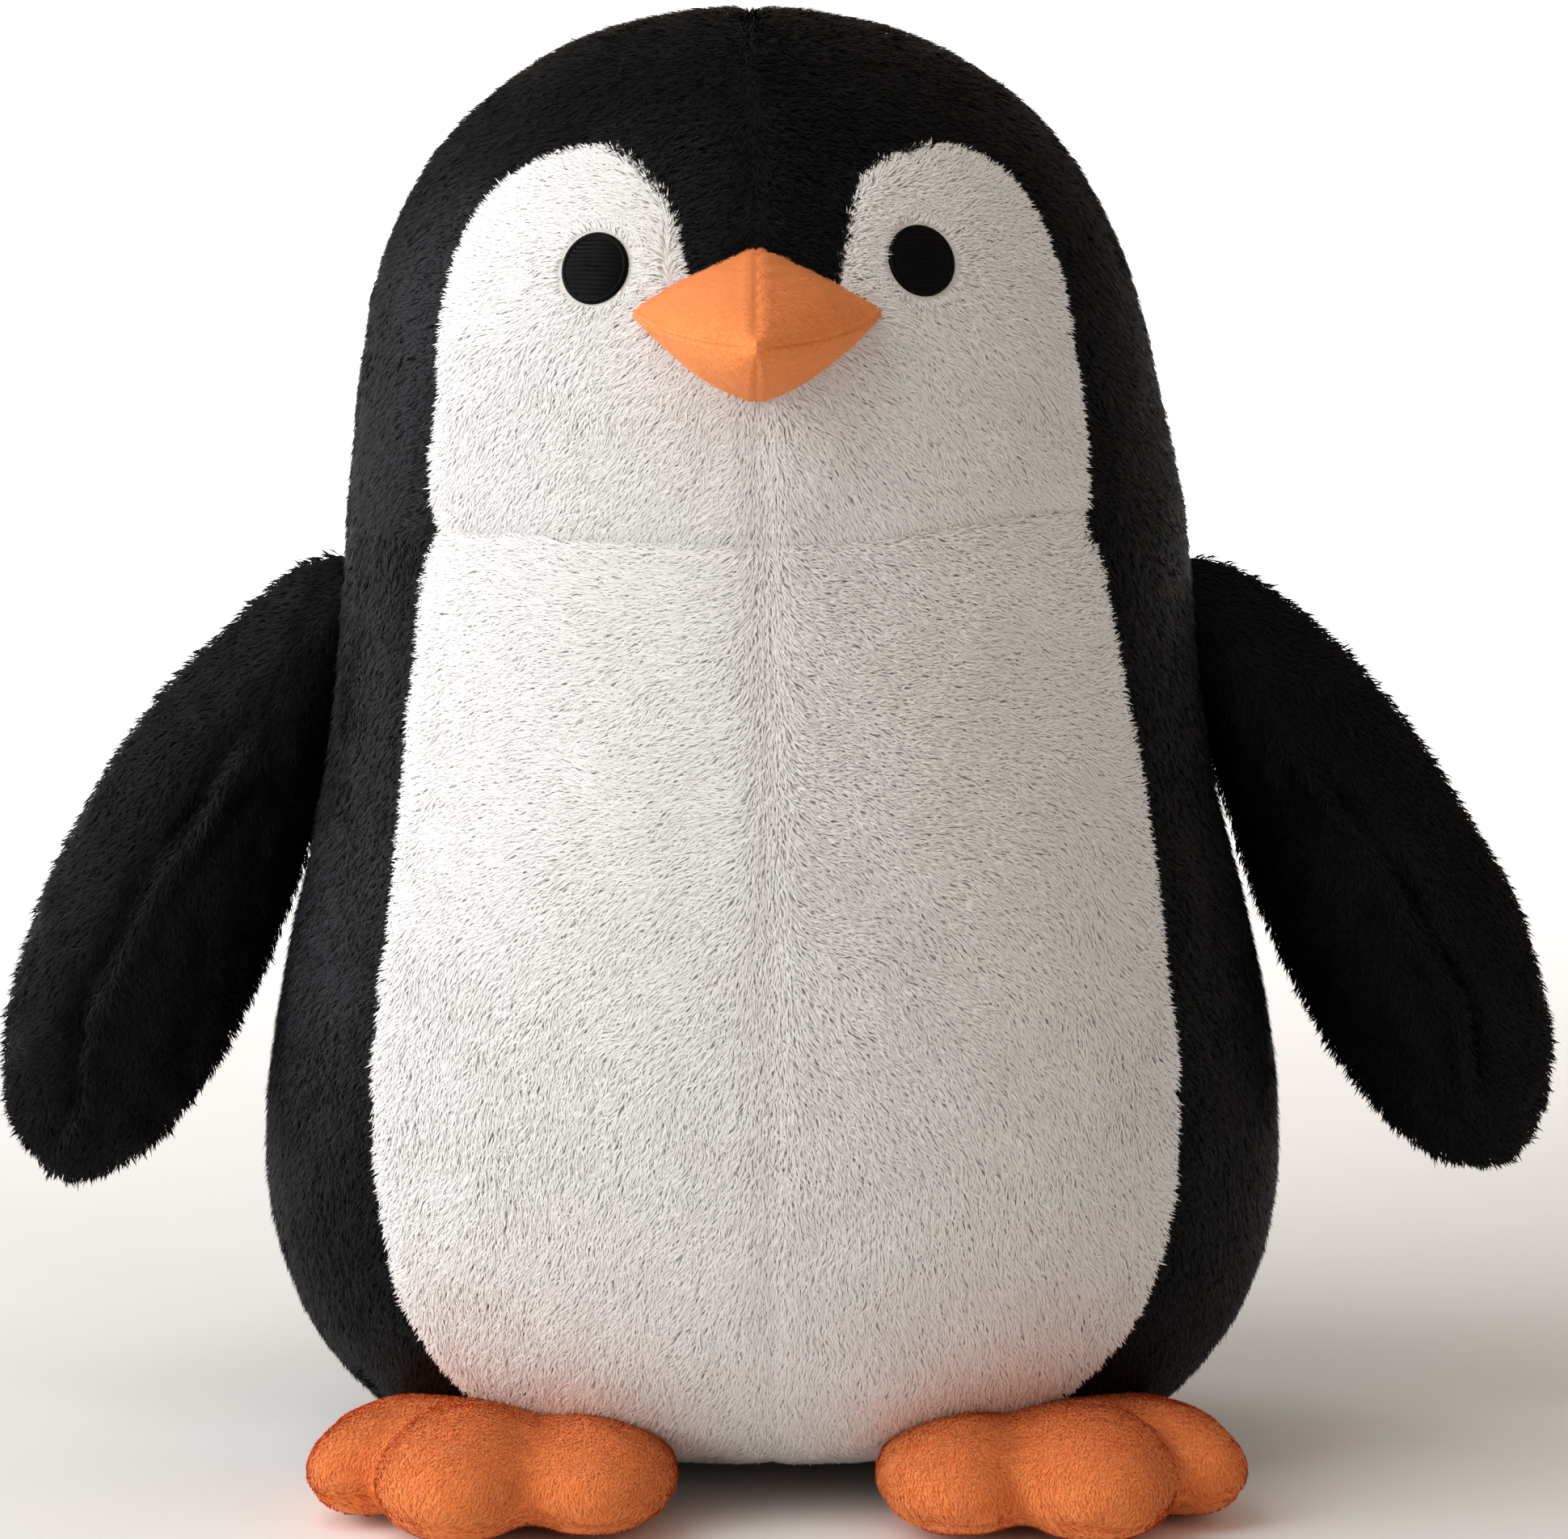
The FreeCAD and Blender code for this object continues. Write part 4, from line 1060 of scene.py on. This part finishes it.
WNT, WNA = 150, 128
for side, sg in (("left", 1.0), ("right", -1.0)):
    W, WN, WT, WA = wing_grid(side, WNT, WNA)
    d_edge = np.abs(np.sin(WA)) * 6.0
    seam_w = np.exp(-(d_edge / 1.0) ** 2)
    crease = 0.0
    # a soft lengthwise fold in the front, a ridge beside a crease
    o_, i_ = wo(WT), wi(WT)
    r_ = np.clip(ridge(ws(WT)), i_ + 0.35 * (o_ - i_), i_ + 0.75 * (o_ - i_))
    wc = (r_ + np.where(np.cos(WA) > 0, o_ - r_, r_ - i_) * np.cos(WA) - r_) * K
    wc = wc + 0.7 * noise(W, 8.0, 503)
    grow = smoothstep((ws(WT) - 12.0) / 26.0) * smoothstep((97.0 - ws(WT)) / 14.0) * (np.sin(WA) < 0)
    fold = grow * (-1.35 * np.exp(-((wc - 1.7) / 1.25) ** 2) + 0.75 * np.exp(-((wc + 0.9) / 1.5) ** 2)) * (1 + 0.5 * noise(W, 6.0, 504))
    tuft = noise(W, 4.2, 505) + 0.6 * noise(W, 2.6, 506)
    lumpw = 0.55 * fbm(W, 15.0, 501, 3) + 0.34 * tuft * smoothstep(-2.5 * np.sin(WA)) + fold + 0.35
    WS = W - WN * (1.05 + 0.35 * seam_w - lumpw - SWELL_W(side, WT, WA))[:, None]
    WNn = grid_normals(WS, WNT, WNA)
    WNn = WNn if np.mean(np.sum(WNn * WN, 1)) > 0 else -WNn
    q = outwards(WS, grid_quads(WNT, WNA), WNn)
    qa = WA.reshape(WNT, WNA)[:-1].ravel() + math.pi / WNA
    front = (qa % (2 * math.pi)) > math.pi
    tip = np.concatenate([WS, WS[-WNA:].mean(0)[None], WS[:WNA].mean(0)[None]])
    i = np.arange(WNA)
    cap_t = np.stack([np.full(WNA, WNT * WNA), (WNT - 1) * WNA + i, (WNT - 1) * WNA + (i + 1) % WNA], 1)
    cap_r = np.stack([np.full(WNA, WNT * WNA + 1), i, (i + 1) % WNA], 1)
    for cap, d0 in ((cap_t, WS[-1] - WS[-1 - 4 * WNA]), (cap_r, WS[0] - WS[4 * WNA])):
        tn = np.cross(tip[cap[3, 1]] - tip[cap[3, 0]], tip[cap[3, 2]] - tip[cap[3, 0]])
        if tn @ d0 < 0:
            cap[:] = cap[:, ::-1]
    cf = (i + 0.5) / WNA > 0.5
    for part, sel in (("front", front), ("back", ~front)):
        cm = cf if part == "front" else ~cf
        tris = np.concatenate([cap_t[cm], cap_r[cm]])
        allf = [q[sel], tris]
        used = np.unique(np.concatenate([a.ravel() for a in allf]))
        back = np.zeros(len(tip), np.int64)
        back[used] = np.arange(len(used))
        ob = new_object(f"wing_{part}_skin_{side}", tip[used], [back[a] for a in allf], [BLACK_SKIN])
        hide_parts(f"wing_{part}_panel_{side}")
        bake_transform(ob)
        rng = np.random.default_rng(510 + (part == "back") + 2 * (side == "left"))
        Pw, Nw, _ = sample_grid(WS, WNn, q[sel], 7.5 if part == "front" else 4.4, rng)
        # strands rooted inside the body are left out
        hid = inside_trunk(Pw, 2.0)
        Pw, Nw = Pw[~hid], Nw[~hid]
        along_w = np.array([sg * 0.4399, 0.0, -0.8980])
        outw = np.array([sg * 0.8980, 0.0, 0.4399])
        sx = (Pw @ outw) - (np.array([sg * 70.0 * K, 15.0 * K, 130.0 * K]) @ outw)
        ss = (Pw @ along_w) - (np.array([sg * 70.0 * K, 15.0 * K, 130.0 * K]) @ along_w)
        off = np.tanh((sx - ridge(ss / K) * K) / 5.0)
        Dw = along_w[None] * 1.0 + outw[None] * (0.55 * off)[:, None] + 0.55 * np.stack([noise(Pw, 11.0, 520 + j) for j in range(3)], 1) \
            + 0.35 * np.stack([noise(Pw, 4.5, 530 + j) for j in range(3)], 1)
        edge_w = np.exp(-(Nw[:, 1] / 0.45) ** 2)
        ob = pile(f"wing_{part}_pile_{side}", Pw, Nw, Dw, PILE * (0.95 - 0.30 * edge_w), 0.26, 1.02 + 0.12 * edge_w, 1.36 + 0.10 * noise(Pw, 7.0, 543) + 0.05 * edge_w, BLACK_PILE,
                  540 + (part == "back"), 0.55 + 0.25 * noise(Pw, 6.0, 541) + 0.18 * noise(Pw, 2.6, 542), clump_cell=2.0,
                  clump_pull=0.32, soft=0.9)
        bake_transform(ob)
    # filling
    F, FN, FT, FA = wing_grid(side, 60, 48)
    F = F - FN * (2.7 - 0.4 * fbm(F, 9.0, 551, 2))[:, None]
    rings = [F[k * 48:(k + 1) * 48] for k in range(14, 56)]
    v, f = closed_tube(rings)
    f[0] = outwards(F[14 * 48:56 * 48], f[0], FN[14 * 48:56 * 48])
    ob = new_object(f"wing_fibre_{side}", v, f, [FIBRE])
    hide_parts(f"wing_stuffing_{side}")
    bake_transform(ob)
    # rolled seam allowance with its overcast stitches
    qn_ = math.hypot(8.5, 52.0)
    sd = np.array([sg * 8.5 / qn_, 0.0, -52.0 / qn_])
    top = np.array([sg * 68.0 * K, 15.0 * K, 134.0 * K]) + sd * 0.5
    e1 = np.array([0.0, 1.0, 0.0])
    e2 = np.cross(sd, e1)
    rings = []
    for k in range(101):
        z = 17.0 * k / 100
        th = 2 * math.pi * np.arange(20) / 20
        r = 0.80 * min(1.0, math.sqrt(max(0.02, min(z, 17.0 - z) / 0.5))) * (1 + 0.07 * np.sin(2 * math.pi * z / 1.4 + th))
        rings.append(top + sd * z + np.outer(r * np.cos(th), e1) + np.outer(r * np.sin(th), e2))
    v, f = closed_tube(rings)
    nrm = np.concatenate([rings[k] - (top + sd * 17.0 * k / 100) for k in range(101)])
    f[0] = outwards(v[:101 * 20], f[0], nrm)
    ob = new_object(f"wing_seam_roll_{side}", v, f, [BLACK_SKIN])
    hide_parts(f"wing_seam_allowance_{side}")
    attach(ob, f"wing_seam_{side}")

# ---------------------------------------------------------------------------
# Feet: three plump lobes and a heel in one velour skin
# ---------------------------------------------------------------------------
LOBES = [((23.2, -46.0, 7.3), (11.2, 19.8, 7.4), 0.0), ((40.2, -47.4, 7.7), (12.0, 21.6, 8.2), 4.0),
         ((50.4, -37.0, 7.0), (9.0, 15.5, 7.4), 30.0), ((38.0, -32.0, 7.0), (19.0, 14.0, 7.4), 0.0)]
FOOT_SHIFT = {"left": 2.5, "right": 0.0}


def lobe(p, c, r, turn):
    t = math.radians(turn)
    d = p - np.array(c)
    x = d[:, 0] * math.cos(t) + d[:, 1] * math.sin(t)
    y = -d[:, 0] * math.sin(t) + d[:, 1] * math.cos(t)
    q = np.stack([x, y, d[:, 2]], 1)
    k0 = np.linalg.norm(q / np.array(r), axis=1)
    k1 = np.linalg.norm(q / np.array(r) ** 2, axis=1)
    return k0 * (k0 - 1) / np.maximum(k1, 1e-9)


def smin(a, b, k):
    h = np.clip(0.5 + 0.5 * (b - a) / k, 0, 1)
    return b * (1 - h) + a * h - k * h * (1 - h)


def foot_field(p):
    d = smin(lobe(p, *LOBES[0]), lobe(p, *LOBES[1]), 3.6)
    d = smin(d, lobe(p, *LOBES[2]), 1.8)
    d = smin(d, lobe(p, *LOBES[3]), 4.0)
    return -smin(-d, -(0.45 - p[:, 2]), 1.8)


def icosphere(levels):
    g = (1 + math.sqrt(5)) / 2
    v = np.array([(-1, g, 0), (1, g, 0), (-1, -g, 0), (1, -g, 0), (0, -1, g), (0, 1, g), (0, -1, -g), (0, 1, -g),
                  (g, 0, -1), (g, 0, 1), (-g, 0, -1), (-g, 0, 1)], float)
    v = unit(v)
    f = np.array([(0, 11, 5), (0, 5, 1), (0, 1, 7), (0, 7, 10), (0, 10, 11), (1, 5, 9), (5, 11, 4), (11, 10, 2),
                  (10, 7, 6), (7, 1, 8), (3, 9, 4), (3, 4, 2), (3, 2, 6), (3, 6, 8), (3, 8, 9), (4, 9, 5), (2, 4, 11),
                  (6, 2, 10), (8, 6, 7), (9, 8, 1)])
    history = []
    for _ in range(levels):
        e = np.sort(np.concatenate([f[:, [0, 1]], f[:, [1, 2]], f[:, [2, 0]]]), 1)
        ue, inv = np.unique(e, axis=0, return_inverse=True)
        inv = inv.ravel()
        m = len(f)
        a, b, c = inv[:m] + len(v), inv[m:2 * m] + len(v), inv[2 * m:] + len(v)
        history.append(ue)
        v = unit(np.concatenate([v, v[ue].mean(1)]))
        f = np.concatenate([np.stack([f[:, 0], a, c], 1), np.stack([f[:, 1], b, a], 1), np.stack([f[:, 2], c, b], 1),
                            np.stack([a, b, c], 1)])
    return v, f, history


def foot_surface(dirs, centre):
    lo, hi = np.zeros(len(dirs)), np.full(len(dirs), 45.0)
    grid = np.linspace(1.0, 45.0, 90)
    last = np.zeros(len(dirs))
    for r in grid:
        inside = foot_field(centre + dirs * r) < 0
        last = np.where(inside, r, last)
    lo, hi = last, last + 0.6
    for _ in range(14):
        m = 0.5 * (lo + hi)
        inside = foot_field(centre + dirs * m[:, None]) < 0
        lo, hi = np.where(inside, m, lo), np.where(inside, hi, m)
    return centre + dirs * (0.5 * (lo + hi))[:, None]


def tri_normals(v, f):
    fn = np.cross(v[f[:, 1]] - v[f[:, 0]], v[f[:, 2]] - v[f[:, 0]])
    n = np.zeros_like(v)
    for k in range(3):
        np.add.at(n, f[:, k], fn)
    return unit(n)


def sample_tris(v, n, f, density, rng):
    a, b, c = v[f[:, 0]], v[f[:, 1]], v[f[:, 2]]
    area = 0.5 * np.linalg.norm(np.cross(b - a, c - a), axis=1)
    count = np.floor(area * density + rng.random(len(f))).astype(int)
    q = np.repeat(np.arange(len(f)), count)
    r1, r2 = np.sqrt(rng.random(len(q))), rng.random(len(q))
    w = [1 - r1, r1 * (1 - r2), r1 * r2]
    return sum(v[f[q, k]] * w[k][:, None] for k in range(3)), unit(sum(n[f[q, k]] * w[k][:, None] for k in range(3)))


FOOT_C = np.array([38.0, -39.0, 7.4])
stretch = np.array([1.0, 1.1, 0.45])
d4, f4, _ = icosphere(4)
d6, f6, h6 = icosphere(6)
d4, d6 = unit(d4 * stretch), unit(d6 * stretch)
coarse = foot_surface(d4, FOOT_C)
cn = tri_normals(coarse, f4)
held_f = np.maximum(np.exp(-((coarse[:, 2] - 4.6) / 1.2) ** 2), (coarse[:, 1] > -26.0) * 1.0)
held_f = np.maximum(held_f, (coarse[:, 2] < 1.0) * 1.0)
disp = swell(coarse, f4, held_f, 0.8)
for e in h6[4:]:
    disp = np.concatenate([disp, disp[e].mean(1)])
foot = foot_surface(d6, FOOT_C)
fn0 = tri_normals(foot, f6)
seam_z = 4.6 + 0.25 * noise(foot, 9.0, 601)
gr = np.exp(-((foot[:, 2] - seam_z) / 0.55) ** 2)
pucker = 0.10 * np.sin((foot[:, 0] + 0.8 * foot[:, 1]) * 2 * math.pi / 2.3) * np.exp(-((foot[:, 2] - seam_z) / 1.3) ** 2)
side_w = smoothstep((0.9 - np.abs(fn0[:, 2])) / 0.3)
foot = foot + fn0 * (disp - 0.42 * gr * side_w + pucker * side_w + 0.30 * fbm(foot, 8.0, 602, 3) - 0.15)[:, None]
foot[:, 2] = np.maximum(foot[:, 2], 0.32)
fn0 = tri_normals(foot, f6)
tri_z = foot[f6].mean(1)[:, 2]
for side, sg in (("left", 1.0), ("right", -1.0)):
    shift = np.array([sg * FOOT_SHIFT[side], 0.0, 0.0])
    fv = foot * np.array([sg, 1, 1]) + shift
    fnn = fn0 * np.array([sg, 1, 1])
    ff = f6 if sg > 0 else f6[:, ::-1]
    for part, sel in (("top", tri_z > 4.6), ("sole", tri_z <= 4.6)):
        v, f = compact(fv, ff[sel])
        ob = new_object(f"foot_{part}_velour_{side}", v, f, [ORANGE_SKIN])
        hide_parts(f"foot_{'top_panel' if part == 'top' else 'sole'}_{side}")
        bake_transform(ob)
        rng = np.random.default_rng(610 + (part == "sole") + 2 * (side == "left"))
        Pf, Nf = sample_tris(fv, fnn, ff[sel], 17.0 if part == "top" else 8.0, rng)
        hid = inside_trunk(Pf, 1.0)
        under = (Nf[:, 2] < -0.8) & (rng.random(len(Pf)) < 0.75)
        ok = ~hid & ~under
        Pf, Nf = Pf[ok], Nf[ok]
        Df = np.stack([0.15 * np.sign(Pf[:, 0]) + 0 * Pf[:, 0], -0.8 + 0 * Pf[:, 0], -0.5 + 0 * Pf[:, 0]], 1) + 0.75 * np.stack(
            [noise(Pf, 6.0, 620 + j) for j in range(3)], 1) + 0.4 * np.stack([noise(Pf, 2.4, 630 + j) for j in range(3)], 1)
        # strands along the foot's seam groove are darkened: painted shade in the groove
        foot_seam_shade = np.exp(-((Pf[:, 2] - 4.6) / 0.6) ** 2)
        ob = pile(f"foot_{part}_nap_{side}", Pf, Nf, Df, 1.20, 0.19, 1.38, 1.50, ORANGE_PILE, 640 + (part == "sole"),
                  0.55 + 0.26 * noise(Pf, 2.4, 641) + 0.20 * noise(Pf, 1.1, 642) - 0.2 * foot_seam_shade, clump_cell=1.5, clump_pull=0.22, soft=1.0,
                  floor=0.08)
        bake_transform(ob)
    v = coarse * np.array([sg, 1, 1]) + shift
    vf = f4 if sg > 0 else f4[:, ::-1]
    vn = tri_normals(v, vf)
    v = v - vn * (1.7 - 0.25 * fbm(v, 6.0, 651, 2))[:, None]
    v[:, 2] = np.maximum(v[:, 2], 1.8)
    ob = new_object(f"foot_fibre_{side}", v, vf, [FIBRE])
    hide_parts(f"foot_stuffing_{side}")
    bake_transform(ob)

# ---------------------------------------------------------------------------
# Floor, light and camera
# ---------------------------------------------------------------------------
edge = np.linspace(-4200, 4200, 15)
sv = [(x, y, -0.05) for y in edge for x in edge]
sf = np.array([[r * 15 + c, r * 15 + c + 1, (r + 1) * 15 + c + 1, (r + 1) * 15 + c] for r in range(14) for c in range(14)])
PAPER = cloth("pale_paper", (0.89, 0.89, 0.89), (0.93, 0.93, 0.93), 3, bump=0.02, rough=(0.85, 0.95), sheen=0.0)
floor = new_object("studio_floor", np.array(sv), sf, [PAPER])

world = bpy.data.worlds.new("studio")
bpy.context.scene.world = world
world.use_nodes = True
world.node_tree.nodes["Background"].inputs["Color"].default_value = (1.0, 0.885, 0.77, 1)
world.node_tree.nodes["Background"].inputs["Strength"].default_value = 0.46


def area_light(name, where, at, size, watts, color):
    li = bpy.data.lights.new(name, "AREA")
    li.shape = "RECTANGLE"
    li.size, li.size_y = size
    li.energy = watts
    li.color = color
    ob = bpy.data.objects.new(name, li)
    bpy.context.scene.collection.objects.link(ob)
    ob.location = where
    ob.rotation_euler = (Vector(at) - Vector(where)).to_track_quat("-Z", "Y").to_euler()
    ob.visible_camera = False
    return ob


area_light("window", (-0.98, -0.60, 0.46), (0, -0.01, 0.08), (0.9, 0.8), 7.9, (0.955, 0.98, 1.0))
area_light("overhead", (-0.5, -0.45, 1.0), (0, -0.1, 0.0), (0.8, 0.8), 4.0, (1.0, 0.985, 0.96))
area_light("rim", (-1.15, 0.42, 0.30), (0, 0.0, 0.10), (0.5, 0.7), 7.5, (0.88, 0.92, 1.0))
area_light("floor_wash", (0.0, 0.95, 1.2), (0, 2.55, 0.0), (2.8, 0.5), 62.0, (1, 1, 1))
area_light("far_wash", (0.0, 1.2, 1.4), (0, 2.8, 1.0), (2.8, 0.5), 70.0, (1, 1, 1))

cam = bpy.data.objects.new("camera", bpy.data.cameras.new("camera"))
bpy.context.scene.collection.objects.link(cam)
cam.location = Vector((CAM_AIM + BACK * CAM_DIST) * MM)
cam.rotation_euler = (math.pi / 2 - CAM_TILT, 0, 0)
cam.data.sensor_fit = "HORIZONTAL"
cam.data.sensor_width = 36
cam.data.lens = 36 * CAM_DIST / 212.4
cam.data.clip_start, cam.data.clip_end = 0.05, 20
bpy.context.scene.camera = cam
bpy.context.scene.view_settings.view_transform = "Standard"
